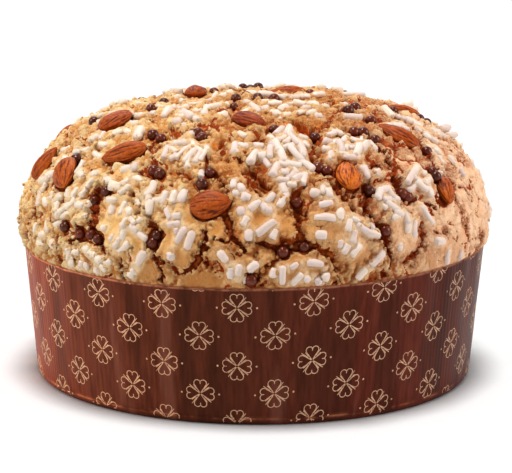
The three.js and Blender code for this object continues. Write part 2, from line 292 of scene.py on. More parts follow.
# ---------------------------------------------------------------- cracks seen from the front
# Each crack: how warm its floor looks (0 dark chocolate brown, 1 orange brown), then x, y, half-width along it, in pixels of the view.
CRACKS = [
    (0.0, (104, 187, 2), (98, 192, 4), (94, 200, 6), (92, 207, 4.5), (90, 214, 2.2), (89, 224, 2.4), (91, 231, 5), (95, 237, 6), (101, 243, 3), (104, 252, 2), (108, 258, 1.6)),
    (0.7, (96, 212, 2), (95, 220, 3), (95, 228, 2.6)),
    (0.1, (91, 234, 5), (84, 237, 4), (77, 240, 2.5), (70, 240, 2.6), (66, 246, 1.6)),
    (0.1, (77, 222, 1.6), (80, 229, 2.4), (84, 235, 3)),
    (0.3, (55, 224, 1.4), (61, 222, 1.4), (65, 227, 2.6)),
    (0.2, (58, 236, 0.8), (58, 250, 1.2), (59, 261, 1.8)),
    (0.1, (122, 260, 0.9), (122, 270, 1.1), (125, 278, 2.4)),
    (0.3, (129, 203, 1.6), (135, 203, 2.0)),
    (0.8, (134, 194, 2.4), (138, 202, 3.2), (141, 209, 2.4), (139, 213, 1.2)),
    (0.2, (148, 214, 2.2), (151, 222, 2.4), (155, 229, 5), (157, 236, 6.4), (156, 243, 4.4), (154, 250, 3.2), (154, 256, 3.0), (159, 259, 1.8), (161, 268, 2.0), (162, 281, 2.2)),
    (0.2, (129, 252, 1.2), (134, 247, 1.4)),
    (0.3, (203, 230, 1.2), (206, 239, 2.6), (205, 247, 4), (200, 253, 3), (197, 262, 3.2), (190, 270, 2.8), (181, 271, 1.8), (173, 268, 1.2), (168, 263, 1.8), (165, 262, 1.2)),
    (0.2, (206, 264, 2.4), (207, 265, 2.4)),
    (0.2, (225, 212, 2.0), (229, 222, 3.2), (229, 231, 2.6), (234, 240, 3.8), (241, 247, 2.0), (245, 251, 1.8)),
    (0.2, (214, 237, 1.8), (220, 243, 1.6)),
    (0.15, (247, 242, 1.4), (256, 243, 3), (268, 242, 3.6), (275, 248, 3.4), (283, 252, 6), (292, 247, 5), (303, 246, 5.4), (314, 245, 4), (321, 247, 2.2)),
    (0.55, (286, 240, 2.4), (292, 244, 3)),
    (0.45, (302, 241, 3.2), (300, 231, 2.6), (299, 220, 3.4), (297, 211, 4.6), (296, 203, 6.2), (294, 195, 5), (299, 189, 3.6), (303, 185, 3.2)),
    (0.7, (266, 266, 1.8), (273, 264, 2.8), (277, 261, 2)),
    (0.1, (256, 251, 0.7), (258, 261, 0.9), (259, 271, 0.9), (258, 279, 2.2), (252, 283, 3.2), (247, 284, 1.8)),
    (0.0, (323, 285, 1.6), (336, 284, 1.4)),
    (0.3, (339, 194, 1.4), (345, 202, 1.7), (350, 208, 1.3), (356, 213, 1.1)),
    (0.1, (367, 184, 4), (367, 192, 4.6), (367, 199, 3.6), (363, 206, 3.4), (368, 213, 2.6), (374, 220, 2.6), (381, 226, 4.2), (385, 234, 5), (388, 241, 3.4), (386, 247, 2.8), (390, 253, 2.4), (391, 261, 1.4), (389, 269, 0.8)),
    (0.2, (399, 206, 0.7), (407, 213, 0.8), (416, 218, 0.9)),
    (0.5, (421, 219, 0.9), (423, 227, 1.4), (425, 235, 2.0), (423, 243, 1.6), (419, 251, 1.4), (414, 256, 3.6), (405, 261, 1.6)),
    (0.1, (396, 180, 4), (398, 188, 3.6), (400, 196, 3.0), (408, 199, 2.6), (418, 200, 1.8), (426, 203, 1.6), (434, 207, 1.8), (438, 210, 1.2)),
    (0.1, (437, 192, 1), (438, 201, 1.2)),
    (0.1, (430, 226, 1.6), (432, 227, 1.4)),
    (0.3, (435, 233, 0.9), (442, 234, 0.9), (449, 233, 0.7)),
    (0.2, (428, 246, 1.4), (426, 250, 1.2)),
    (0.3, (458, 200, 0.5), (463, 208, 0.6), (467, 220, 0.6), (469, 234, 0.7), (470, 248, 0.8), (470, 257, 1.0)),
    (0.8, (482, 234, 1.4), (480, 243, 2.2), (475, 251, 2.0)),
    (0.6, (320, 249, 2.6), (327, 252, 4), (332, 258, 3), (334, 265, 1.6), (339, 269, 1.1)),
    (0.1, (363, 118, 1.4), (370, 121, 1.8), (376, 123, 1.2)),
    (0.1, (348, 134, 1.8), (355, 138, 2.0), (365, 141, 2.0), (374, 145, 2.2), (380, 150, 2.6), (387, 156, 2.4), (388, 163, 1.6), (395, 164, 2.4), (390, 167, 1.2)),
    (0.1, (370, 167, 1.8), (377, 165, 1.6), (382, 169, 2.0), (381, 177, 2.0), (375, 179, 1.4), (369, 182, 2.0)),
    (0.1, (419, 141, 1.4), (424, 149, 2.6), (430, 156, 2.6), (434, 163, 1.6), (439, 170, 1.8), (444, 172, 1.2)),
    (0.5, (443, 163, 0.8), (449, 175, 1.2), (454, 184, 1.4), (455, 192, 1.2), (458, 199, 1.2)),
    (0.3, (459, 186, 0.6), (465, 190, 0.7), (470, 197, 0.5)),
    (0.4, (329, 108, 1.4), (333, 104, 1.6), (342, 101, 1.8), (352, 102, 1.6)),
    (0.2, (395, 109, 1.2), (398, 117, 1.4), (397, 126, 1.0)),
    (0.5, (316, 128, 1.4), (326, 127, 2.0), (334, 127, 2.4), (345, 129, 1.6)),
    (0.1, (312, 130, 2), (315, 140, 3.4), (313, 148, 3.0), (311, 157, 2.6), (315, 165, 3), (322, 171, 3.6), (330, 173, 2.4)),
    (0.3, (331, 185, 1.2), (338, 188, 1.2), (341, 193, 1.0)),
    (0.8, (173, 127, 2.6), (174, 134, 4)),
    (0.5, (168, 139, 1.2), (178, 140, 1.2), (185, 134, 1.6), (196, 131, 1.8), (207, 136, 1.8)),
    (0.35, (207, 150, 2.4), (207, 158, 3.0), (206, 166, 1.8), (210, 173, 4), (217, 175, 2.4), (222, 181, 3), (226, 188, 2.6), (232, 196, 1.4)),
    (0.8, (223, 141, 2.8), (221, 148, 2.2)),
    (0.75, (176, 171, 1.2), (186, 173, 2.2), (190, 179, 2.8)),
    (0.3, (226, 160, 1.2), (231, 157, 1.4), (239, 159, 1.6), (246, 163, 1.6), (251, 170, 2.2), (256, 178, 3.4), (262, 184, 3.6), (269, 189, 2.2), (275, 192, 1.0)),
    (0.2, (263, 139, 1.6), (269, 134, 2.4), (275, 130, 2.2)),
    (0.85, (268, 124, 1.6), (276, 122, 2.4), (286, 120, 1.6)),
    (0.7, (296, 122, 2.4), (303, 127, 3.2), (308, 133, 3)),
    (0.8, (226, 114, 2.4), (230, 119, 2.6)),
    (0.2, (231, 99, 1.6), (236, 104, 1.8), (232, 109, 1.6)),
    (0.5, (95, 155, 1.8), (98, 148, 1.6), (104, 143, 1.2), (110, 140, 0.8)),
    (0.4, (85, 180, 1.0), (88, 174, 1.4), (90, 170, 0.8)),
    (0.6, (74, 133, 1.0), (81, 131, 1.2), (87, 128, 0.8)),
    (0.5, (137, 181, 1.6), (146, 181, 1.6)),
    (0.3, (159, 155, 0.8), (156, 163, 1.4), (151, 172, 2.4), (160, 174, 2.0)),
    (0.2, (153, 142, 1.4), (152, 149, 2.2)),
    (0.6, (37, 204, 0.8), (34, 214, 1.2), (28, 224, 1.2), (27, 236, 1.4)),
    (0.9, (330, 98, 1.0), (345, 99, 1.6), (362, 108, 2.0)),
    (0.5, (240, 255, 0.6), (236, 250, 0.6), (232, 246, 0.7), (226, 243, 0.8)),
    (0.3, (252, 189, 0.9), (260, 196, 1.2), (264, 197, 0.9)),
    (0.3, (383, 268, 0.7), (383, 277, 2.2), (391, 276, 1.2)),
    (0.1, (352, 281, 1.2), (364, 281, 1.3), (377, 279, 0.9)),
    (0.1, (104, 276, 1.4), (110, 276, 1.2)),
    (0.0, (266, 280, 0.6), (262, 286, 1.2)),
]

# Where the glaze is smooth, and not crumbly: x, y, radius in pixels of the view.
SMOOTH_SPOTS = [
    (112, 222, 22), (128, 248, 18), (176, 238, 20), (186, 216, 16), (176, 262, 16), (146, 268, 16),
    (262, 214, 24), (282, 232, 16), (244, 226, 14), (330, 226, 26), (352, 248, 18), (322, 236, 16),
    (404, 238, 20), (408, 222, 16), (402, 155, 22), (412, 166, 14), (452, 226, 22), (448, 204, 16), (462, 244, 14),
    (222, 268, 24), (196, 278, 18), (296, 272, 22), (238, 242, 8), (220, 228, 9), (228, 166, 12), (96, 172, 14),
    (440, 255, 20), (410, 264, 12), (478, 215, 14), (440, 176, 14), (456, 184, 14), (464, 206, 12), (436, 148, 10), (450, 168, 12),
    (470, 232, 14), (386, 178, 10), (120, 176, 10), (84, 200, 8),
]

# Bare patches of caramel-coloured glaze among the sugar near the top: x, y and radius in pixels of the view.
AMBER = [
    (274, 120, 7), (283, 122, 8), (297, 126, 9), (306, 132, 9), (320, 126, 7), (334, 125, 6), (322, 101, 7), (335, 101, 8),
    (348, 102, 7), (364, 108, 7), (387, 143, 7), (395, 148, 6), (232, 128, 6), (214, 146, 6), (262, 168, 6), (150, 132, 6),
]

# Sugar rods seen from the front: x, y, length, direction in degrees anticlockwise from level, width, in pixels of the view.
RODS = [
    (174, 197, 14, 75, 7.5), (183, 196, 14, 70, 7.5), (164.5, 197.5, 14, 72, 6.5), (168.5, 214, 13, -65, 6), (177, 215, 9, 0, 6),
    (174, 224, 14, 8, 5.5), (177, 231, 7, 90, 6), (181.5, 235, 19, 60, 6), (190, 240, 20, 72, 6.5), (171, 256, 9, 80, 8),
    (223, 256, 14, -50, 7), (231, 273, 12, 88, 7.5), (238.5, 270, 13, 82, 6), (244.5, 279, 8, -30, 7), (253, 267, 14, 38, 8),
    (246, 197, 10, -15, 9), (241, 211, 9, -75, 7.5), (245, 221, 11, 60, 6.5), (255, 206, 15, 40, 7), (264, 207, 9, -60, 6),
    (269, 210, 7, -45, 7), (270, 198, 13, 45, 6.5), (282.5, 199, 17, 62, 7), (249, 235, 12, 88, 7.5), (266, 228, 24, 37, 7.5),
    (274, 234, 11, 70, 6.5), (282.5, 275, 19, 88, 7), (315, 264, 17, -8, 7), (294, 266, 10, 30, 5), (273, 273, 10, 80, 6.5),
    (307, 279, 8, 60, 6.5), (318, 281, 8, -60, 6.5), (325.5, 277, 10, 80, 8), (297, 279, 16, 48, 6), (326, 204, 14, 12, 7),
    (325, 218, 22, -2, 7), (341, 214, 12, 85, 7), (321, 235, 12, -5, 8), (349, 225, 13, 80, 6.5), (356, 219.5, 9, -20, 5),
    (363, 229, 18, -35, 6), (373, 234, 15, -12, 6.5), (354, 237, 13, 80, 7.5), (340.5, 244, 9, 85, 6), (346, 249, 11, 60, 6.5),
    (356, 250, 16, 52, 6.5), (377, 258.5, 20, 47, 6.5), (361.5, 274, 14, 50, 6.5), (371.5, 226, 8, -60, 5), (384, 190, 14, 15, 7),
    (391, 194, 14, -55, 7), (379, 194, 12, 70, 7), (387, 199, 9, 0, 6), (392, 206, 17, -38, 7), (399, 213, 11, -20, 6),
    (396, 217, 9, 20, 6), (407, 219, 14, -72, 6.5), (408, 227, 13, 85, 6), (414, 229, 18, 86, 6.5), (400, 247, 9, 80, 6),
    (427, 215, 22, -55, 7), (440, 241, 10, 0, 8), (448, 257, 16, 84, 5), (461, 255, 10, 78, 5), (39.5, 199, 15, 82, 6.5),
    (68, 194, 9, 85, 5), (75, 193, 12, 60, 6), (63, 210, 13, 40, 6), (70.5, 204, 14, 35, 6.5), (58, 214, 9, 60, 6),
    (66, 215, 10, 20, 5.5), (83, 193, 11, 50, 5), (112, 200, 11, 0, 6), (111.5, 210, 11, 80, 6), (123, 208, 15, 62, 6),
    (125, 223, 12, 55, 6.5), (132.5, 221, 9, -50, 6), (134, 228, 12, -40, 6.5), (142, 236, 13, -38, 7), (124, 234, 13, 78, 6.5),
    (104, 228, 7, 0, 6), (112, 238, 8, 60, 5), (117, 243, 12, 58, 6), (124, 247, 15, 40, 7), (142, 258, 17, 57, 7),
    (132.5, 273, 10, 60, 8.5), (68, 254, 12, -78, 7), (71.5, 262, 11, -80, 6.5), (76, 252, 7, 0, 6), (87, 250, 9, -40, 6),
    (92, 254, 9, -40, 6), (86, 266, 8, -60, 5.5), (81, 265, 9, 80, 5), (97, 270, 8, -60, 6), (103, 268, 9, -50, 5.5),
    (42, 242, 8, 0, 6), (53, 244, 9, -60, 7), (150.5, 207, 15, 88, 6.5), (151, 189, 18, 62, 7), (116, 186, 13, -10, 7),
    (125.5, 190, 14, 40, 6.5), (128, 169, 14, 10, 8), (135, 167, 8, 70, 6), (139, 133, 11, 78, 8), (152, 114, 7, 0, 6),
    (160, 107, 8, -20, 5), (167, 113, 11, 60, 7), (80, 168, 17, 60, 6), (116, 122, 18, 35, 6), (94, 138, 11, 42, 5),
    (102, 136, 9, 60, 5), (66, 150, 11, 10, 5), (76, 123, 9, 60, 6), (95, 116, 9, 20, 5), (114, 104, 8, 10, 5),
    (123, 102, 8, 0, 5), (190, 95, 12, -20, 7), (215, 96, 8, 60, 6), (187, 115, 13, -30, 8), (177, 122, 9, 0, 8),
    (183, 108, 10, 20, 6), (214, 107, 13, 10, 7), (205, 111, 11, 70, 6), (196, 104, 17, 8, 5), (208, 101, 17, 10, 5),
    (191, 135, 14, 22, 7), (177, 144, 9, 0, 6), (183, 143, 8, 10, 6), (181, 154, 14, 45, 6), (190, 156, 18, 50, 6.5),
    (198, 158, 13, 55, 6), (203, 155, 14, 60, 5.5), (174, 157, 10, 30, 6), (166, 152, 13, 70, 6), (201, 174, 8, 80, 6),
    (235, 149, 11, 88, 8), (243, 146, 10, -15, 7), (233.5, 184, 9, 85, 7), (241, 188, 9, -60, 7), (235.5, 193, 7, 0, 6),
    (258, 146, 12, -5, 8), (253.5, 157, 15, 60, 8), (262, 156, 9, 20, 8), (267, 163, 13, -55, 6), (273, 145, 9, -30, 6),
    (279, 133, 11, 40, 9), (288, 131, 10, 75, 8), (294, 139, 18, -48, 7), (301, 150, 17, -80, 7), (277, 146, 13, -70, 7),
    (282, 155, 16, -72, 7), (270.5, 152, 13, 85, 6), (288, 147, 12, 20, 7), (296, 153, 22, -50, 7), (290, 164, 24, -9, 8),
    (307, 166, 17, -33, 8), (275, 170, 14, 68, 8), (285, 172, 9, 0, 7), (283.5, 180, 12, -6, 7), (291, 176, 12, 40, 7),
    (298, 178, 13, 28, 8), (304, 179, 12, 78, 7), (284, 189, 12, -70, 7), (247, 103, 9, 0, 8), (255, 108, 13, -48, 6),
    (265, 109, 9, 0, 7), (252, 94, 13, -6, 7), (266, 95, 16, -6, 7), (280, 97, 13, -6, 7), (275, 104, 15, 0, 6),
    (283, 109, 10, 20, 7), (292, 105, 12, 10, 7), (300, 104, 13, -10, 7), (306, 109, 10, 0, 7), (313, 105, 10, -20, 7),
    (296, 97, 13, 5, 6), (305, 97, 11, 0, 6), (318, 117, 8, 0, 8), (325, 108, 8, 0, 8), (328, 142, 11, -10, 7),
    (340, 147, 13, -75, 7), (331, 157, 9, 80, 7), (350, 157, 13, 4, 6.5), (358, 150, 13, 62, 6.5), (355, 141, 12, -15, 7),
    (365, 146, 11, 50, 7), (372.5, 147, 12, -50, 6.5), (332, 134, 9, 20, 6), (338, 133, 12, -20, 6), (326, 149, 8, 0, 7),
    (346, 148, 7, 30, 6), (353, 148, 8, 0, 6), (345, 140, 9, 40, 6), (353, 117, 19, 0, 6.5), (328.5, 193, 11, -65, 7.5),
    (315, 193, 11, -15, 8), (323, 190, 9, 80, 6), (365, 172, 14, -65, 7), (377, 173, 7, 0, 7), (411, 177, 16, 58, 7),
    (422, 186, 16, -40, 7), (417, 180, 12, -30, 6.5), (430, 192, 12, -60, 6.5), (412, 188, 10, 45, 6), (430, 150, 12, -45, 6),
    (427, 136, 9, -50, 6), (434, 141, 9, -30, 6), (416, 124, 13, -30, 6), (409, 121, 10, -30, 6), (388, 112, 13, -50, 7),
    (401, 118, 11, -20, 6), (437, 151, 9, -60, 6), (440, 174, 6, 0, 6), (404, 128, 12, -32, 5), (420, 131, 12, -38, 5),
    (441, 160, 10, -58, 4.5), (452, 160, 11, -60, 4.5), (462, 172, 10, -62, 4.5), (40, 172, 8, -15, 5), (44, 187, 11, 60, 5),
    (52, 196, 10, 65, 5), (90, 183, 12, 50, 5), (70, 180, 12, 58, 5), (58, 224, 10, 30, 5), (36, 228, 10, 75, 5),
]

# Chocolate pearls seen from the front.
PEARLS = [
    (94, 122), (164, 103), (151, 109), (153, 135), (161, 139), (202, 138), (198, 133), (154, 171), (160, 174), (76, 160), (106, 192),
    (80, 234), (91, 235), (98, 239), (210, 173), (202, 184), (214, 92), (202, 92), (246, 96), (236, 99), (233, 108), (258, 88),
    (258, 98), (274, 99), (348, 111), (355, 108), (393, 111), (419, 119), (426, 123), (354, 132), (363, 133), (375, 140), (315, 138),
    (274, 130), (318, 168), (327, 171), (433, 172), (436, 177), (297, 203), (369, 191), (385, 231), (283, 252), (304, 247), (402, 194),
    (157, 235), (153, 243), (427, 152), (371, 121), (251, 280), (94, 201), (310, 94), (407, 197), (65, 227), (243, 88),
]


# ---------------------------------------------------------------- mesh and material helpers
def make_mesh(name, verts, faces, material, normals=None, attrs=None, smooth_faces=True):
    """verts in mm."""
    me = bpy.data.meshes.new(name)
    verts = np.asarray(verts, np.float64) * MM
    faces = np.asarray(faces, np.int32)
    k = faces.shape[1]
    me.vertices.add(len(verts))
    me.vertices.foreach_set("co", verts.astype(np.float32).ravel())
    me.loops.add(len(faces) * k)
    me.loops.foreach_set("vertex_index", faces.ravel())
    me.polygons.add(len(faces))
    me.polygons.foreach_set("loop_start", np.arange(0, len(faces) * k, k, dtype=np.int32))
    me.polygons.foreach_set("loop_total", np.full(len(faces), k, np.int32))
    me.update(calc_edges=True)
    me.validate()
    if smooth_faces:
        me.polygons.foreach_set("use_smooth", np.ones(len(me.polygons), bool))
    for key, val in (attrs or {}).items():
        val = np.asarray(val, np.float32)
        a = me.attributes.new(key, "FLOAT", "POINT")
        a.data.foreach_set("value", val.ravel())
    if normals is not None:
        me.normals_split_custom_set_from_vertices([tuple(v) for v in normals.tolist()])
    me.materials.append(material)
    ob = bpy.data.objects.new(name, me)
    SCENE.collection.objects.link(ob)
    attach(ob, "root")
    return ob


def mesh_normals(verts, faces):
    a, b, c, d = (verts[faces[:, i]] for i in range(4))
    fn = np.cross(c - a, d - b)
    out = np.zeros_like(verts)
    for i in range(4):
        for k in range(3):
            out[:, k] += np.bincount(faces[:, i], fn[:, k], len(verts))
    return unit(out)


def srgb(r, g, b):
    v = np.array([r, g, b]) / 255.0
    return tuple(np.where(v <= 0.04045, v / 12.92, ((v + 0.055) / 1.055) ** 2.4)) + (1.0,)


class Look:
    """A small hand for building a material's nodes."""

    def __init__(self, name, rough=0.6, spec=0.5):
        self.m = bpy.data.materials.new(name)
        self.m.use_nodes = True
        self.t = self.m.node_tree
        self.bsdf = self.t.nodes["Principled BSDF"]
        self.bsdf.inputs["Roughness"].default_value = rough
        self.bsdf.inputs["Specular IOR Level"].default_value = spec
        self.co = self.t.nodes.new("ShaderNodeTexCoord").outputs["Object"]

    def put(self, socket, v):
        if isinstance(v, bpy.types.NodeSocket):
            self.t.links.new(v, socket)
        else:
            socket.default_value = v

    def attr(self, name):
        n = self.t.nodes.new("ShaderNodeAttribute")
        n.attribute_name = name
        return n.outputs["Fac"]

    def noise(self, mm, detail=2.0, rough=0.5, co=None, distort=0.0):
        n = self.t.nodes.new("ShaderNodeTexNoise")
        self.put(n.inputs["Vector"], co or self.co)
        n.inputs["Scale"].default_value = 1000.0 / mm
        n.inputs["Detail"].default_value = detail
        n.inputs["Roughness"].default_value = rough
        n.inputs["Distortion"].default_value = distort
        return n.outputs["Fac"]

    def cells(self, mm, feature="F1", co=None):
        n = self.t.nodes.new("ShaderNodeTexVoronoi")
        n.feature = feature
        self.put(n.inputs["Vector"], co or self.co)
        n.inputs["Scale"].default_value = 1000.0 / mm
        return n.outputs["Distance"]

    def stretch(self, x, y, z):
        n = self.t.nodes.new("ShaderNodeVectorMath")
        n.operation = "MULTIPLY"
        self.put(n.inputs[0], self.co)
        n.inputs[1].default_value = (x, y, z)
        return n.outputs[0]

    def math(self, op, a, b=None, c=None, clamp=False):
        n = self.t.nodes.new("ShaderNodeMath")
        n.operation = op
        n.use_clamp = clamp
        self.put(n.inputs[0], a)
        if b is not None:
            self.put(n.inputs[1], b)
        if c is not None:
            self.put(n.inputs[2], c)
        return n.outputs[0]

    def span(self, v, a, b, lo=0.0, hi=1.0):
        n = self.t.nodes.new("ShaderNodeMapRange")
        n.interpolation_type = "SMOOTHSTEP"
        self.put(n.inputs["Value"], v)
        for key, val in (("From Min", a), ("From Max", b), ("To Min", lo), ("To Max", hi)):
            n.inputs[key].default_value = val
        return n.outputs["Result"]

    def mix(self, f, a, b, kind="MIX"):
        n = self.t.nodes.new("ShaderNodeMix")
        n.data_type = "RGBA"
        n.blend_type = kind
        self.put(n.inputs[0], f)
        self.put(n.inputs[6], a)
        self.put(n.inputs[7], b)
        return n.outputs[2]

    def bump(self, height, dist_mm, strength=1.0, under=None):
        n = self.t.nodes.new("ShaderNodeBump")
        n.inputs["Strength"].default_value = strength
        n.inputs["Distance"].default_value = dist_mm * MM
        self.put(n.inputs["Height"], height)
        if under is not None:
            self.put(n.inputs["Normal"], under)
        return n.outputs["Normal"]

    def set(self, key, v):
        self.put(self.bsdf.inputs[key], v)


# ---------------------------------------------------------------- materials
def crust_look(name="toasted_glaze"):
    k = Look(name, 0.75, 0.16)
    k.bsdf.inputs["Specular Tint"].default_value = (1.0, 0.74, 0.52, 1)
    rim, hot, crumb, painted_cavity_shade, pink_painted_light, low, foot = (k.attr(a) for a in ("rim", "hot", "crumb", "painted_cavity_shade", "pink_painted_light", "low", "foot"))
    torn, held, painted_peak_highlight, pale_painted_light, milk, amber = (k.attr(a) for a in ("torn", "held", "painted_peak_highlight", "pale_painted_light", "milk", "amber"))
    blotch = k.noise(6.0, 3, 0.6)
    fine = k.noise(1.1, 4, 0.7)
    grit = k.noise(0.45, 2, 0.6)

    # how far outside the nearest crack's broken edge, in mm: the mesh gives it smoothly and the noise makes it ragged
    edge = k.math("ADD", rim, k.math("MULTIPLY", k.math("SUBTRACT", fine, 0.5), 1.5))
    edge = k.math("ADD", edge, k.math("MULTIPLY", k.math("SUBTRACT", grit, 0.5), 0.7))

    # tan, cream and rosy are one glaze under painted light: cream where light is painted on the left and top, rosy
    # where warm light is painted on the right
    def zones(tan, cream, rosy):
        return k.mix(pale_painted_light, k.mix(pink_painted_light, srgb(*tan), srgb(*rosy)), srgb(*cream))

    col = zones((212, 150, 86), (237, 186, 118), (248, 210, 175))
    col = k.mix(k.span(blotch, 0.4, 0.68), col, zones((200, 131, 65), (226, 164, 88), (238, 180, 136)))
    col = k.mix(k.span(fine, 0.48, 0.32, 0.0, 0.6), col, zones((172, 110, 56), (212, 149, 80), (218, 154, 108)))
    # painted shade with some browning: darker towards the case
    col = k.mix(k.math("MULTIPLY", low, 0.8), col, srgb(174, 112, 58))
    # painted highlight on the tops of the lumps
    col = k.mix(k.math("MULTIPLY", painted_peak_highlight, 0.7), col, zones((232, 182, 120), (250, 218, 162), (250, 212, 170)))
    # lighter cream flecks over the crumbly glaze: partly its own paler crumbs, partly painted highlight
    col = k.mix(k.math("MULTIPLY", crumb, k.span(fine, 0.5, 0.66, 0.0, 0.6)), col, zones((232, 188, 130), (249, 224, 176), (246, 214, 176)))
    # painted highlight: lighter along the plates' broken edges, less where the glaze is torn
    painted_lip_highlight = k.math("MULTIPLY", k.span(edge, 1.0, 0.2), k.math("MULTIPLY_ADD", torn, -0.8, 0.75, clamp=True))
    col = k.mix(painted_lip_highlight, col, zones((228, 182, 126), (246, 216, 166), (240, 198, 156)))
    col = k.mix(k.math("MULTIPLY", held, k.span(fine, 0.3, 0.6, 0.3, 0.8)), col, zones((226, 184, 134), (244, 213, 162), (246, 212, 176)))
    col = k.mix(k.math("MULTIPLY", milk, k.span(fine, 0.3, 0.55, 0.3, 0.8)), col, srgb(235, 205, 166))
    col = k.mix(k.math("MULTIPLY", torn, k.span(fine, 0.64, 0.36, 0.25, 0.95)), col, k.mix(pale_painted_light, srgb(172, 88, 34), srgb(206, 126, 54)))
    spots = k.math("MULTIPLY", k.span(k.noise(2.6, 3, 0.6), 0.58, 0.7), k.math("MULTIPLY_ADD", crumb, 0.5, 0.2))
    col = k.mix(spots, col, srgb(170, 90, 36))
    # painted shade in the hollows and pits
    col = k.mix(k.math("MULTIPLY", painted_cavity_shade, k.span(fine, 0.15, 0.6, 1.0, 0.75)), col, k.mix(pale_painted_light, srgb(164, 78, 26), srgb(204, 122, 48)))
    specks = k.span(k.cells(2.2), 0.12, 0.06)
    col = k.mix(k.math("MULTIPLY", specks, k.span(k.noise(6, 1), 0.42, 0.58, 0.0, 0.7)), col, srgb(156, 84, 38))
    # painted shade: dark line at the crust's foot against the case
    col = k.mix(k.math("MULTIPLY", foot, 0.85), col, srgb(128, 62, 30))
    glassy = k.span(k.math("MULTIPLY_ADD", fine, 0.5, amber), 0.5, 0.75)
    col = k.mix(glassy, col, k.mix(k.span(blotch, 0.36, 0.62), srgb(226, 140, 50), srgb(170, 72, 20)))
    patch = k.span(k.noise(2.4, 3, 0.6), 0.38, 0.62)
    # crack colours: the cracks' own dark and orange-brown caramel, with painted shade making them darker just under the
    # broken edge
    near = k.mix(hot, k.mix(patch, srgb(104, 26, 5), srgb(168, 62, 15)), srgb(196, 82, 20))
    floor_col = k.mix(hot, k.mix(patch, srgb(180, 68, 18), srgb(222, 106, 34)), srgb(240, 138, 46))
    wall = k.mix(k.span(edge, -0.7, -2.2), near, floor_col)
    col = k.mix(k.span(edge, 0.16, -0.08), col, wall)
    k.set("Base Color", col)
    wet = k.math("MAXIMUM", k.span(edge, -0.3, -1.2), glassy)
    k.set("Roughness", k.math("MULTIPLY_ADD", wet, -0.4, k.span(fine, 0.2, 0.8, 0.62, 0.86)))
    k.set("Specular IOR Level", k.math("MULTIPLY_ADD", wet, 0.24, 0.14))
    h = k.math("MULTIPLY_ADD", crumb, 0.45, 0.55)
    b = k.bump(k.math("MULTIPLY", fine, h), 1.4, 0.9)
    b = k.bump(grit, 0.3, 0.6, b)
    k.set("Normal", b)
    return k.m


def core_look():
    k = Look("baked_side", 0.8, 0.3)
    f = k.noise(3.0, 4, 0.6)
    col = k.mix(k.span(f, 0.3, 0.7), srgb(150, 84, 38), srgb(196, 128, 66))
    col = k.mix(k.span(k.cells(4.0), 0.2, 0.1), col, srgb(110, 56, 26))
    k.set("Base Color", col)
    k.set("Normal", k.bump(f, 0.8, 0.6))
    return k.m


def sugar_look():
    k = Look("sugar", 0.45, 0.4)
    coat, shade = k.attr("coat"), k.attr("shade")
    f = k.noise(1.1, 3, 0.6)
    col = k.mix(shade, srgb(222, 205, 195), srgb(204, 180, 174))
    col = k.mix(k.math("MULTIPLY", coat, k.span(f, 0.2, 0.6)), col, srgb(238, 218, 182))
    k.set("Base Color", col)
    k.set("Roughness", k.span(f, 0.2, 0.8, 0.42, 0.64))
    k.set("Normal", k.bump(f, 0.3, 0.35))
    return k.m


def pearl_look():
    k = Look("dark_chocolate", 0.15, 0.42)
    k.bsdf.inputs["Specular Tint"].default_value = (1.0, 0.74, 0.62, 1)
    shade = k.attr("shade")
    f = k.noise(1.6, 2, 0.5)
    col = k.mix(shade, srgb(92, 28, 12), srgb(58, 16, 7))
    col = k.mix(k.span(f, 0.5, 0.75), col, srgb(108, 42, 20))
    k.set("Base Color", col)
    k.set("Roughness", k.span(f, 0.3, 0.8, 0.1, 0.2))
    k.set("Normal", k.bump(f, 0.12, 0.25))
    return k.m


def almond_look():
    k = Look("almond_skin", 0.42, 0.17)
    k.bsdf.inputs["Specular Tint"].default_value = (1.0, 0.74, 0.56, 1)
    groove, tone = k.attr("groove"), k.attr("tone")
    f = k.noise(1.2, 4, 0.65)
    g = k.noise(0.5, 2, 0.6)
    col = k.mix(tone, srgb(150, 58, 14), srgb(208, 108, 28))
    col = k.mix(k.span(f, 0.34, 0.68), col, k.mix(tone, srgb(124, 40, 8), srgb(180, 80, 18)))
    # painted shade: darker in the grooves
    col = k.mix(k.span(groove, 0.2, 0.9), col, k.mix(tone, srgb(82, 24, 6), srgb(104, 36, 8)))
    # painted highlight: lighter along the ridges between the grooves
    col = k.mix(k.math("MULTIPLY", k.span(groove, 0.3, 0.0), k.span(g, 0.5, 0.75, 0.0, 0.6)), col, k.mix(tone, srgb(196, 118, 66), srgb(222, 142, 72)))
    k.set("Base Color", col)
    k.set("Roughness", k.span(f, 0.2, 0.8, 0.3, 0.5))
    k.set("Normal", k.bump(g, 0.2, 0.4, k.bump(f, 0.4, 0.5)))
    return k.m


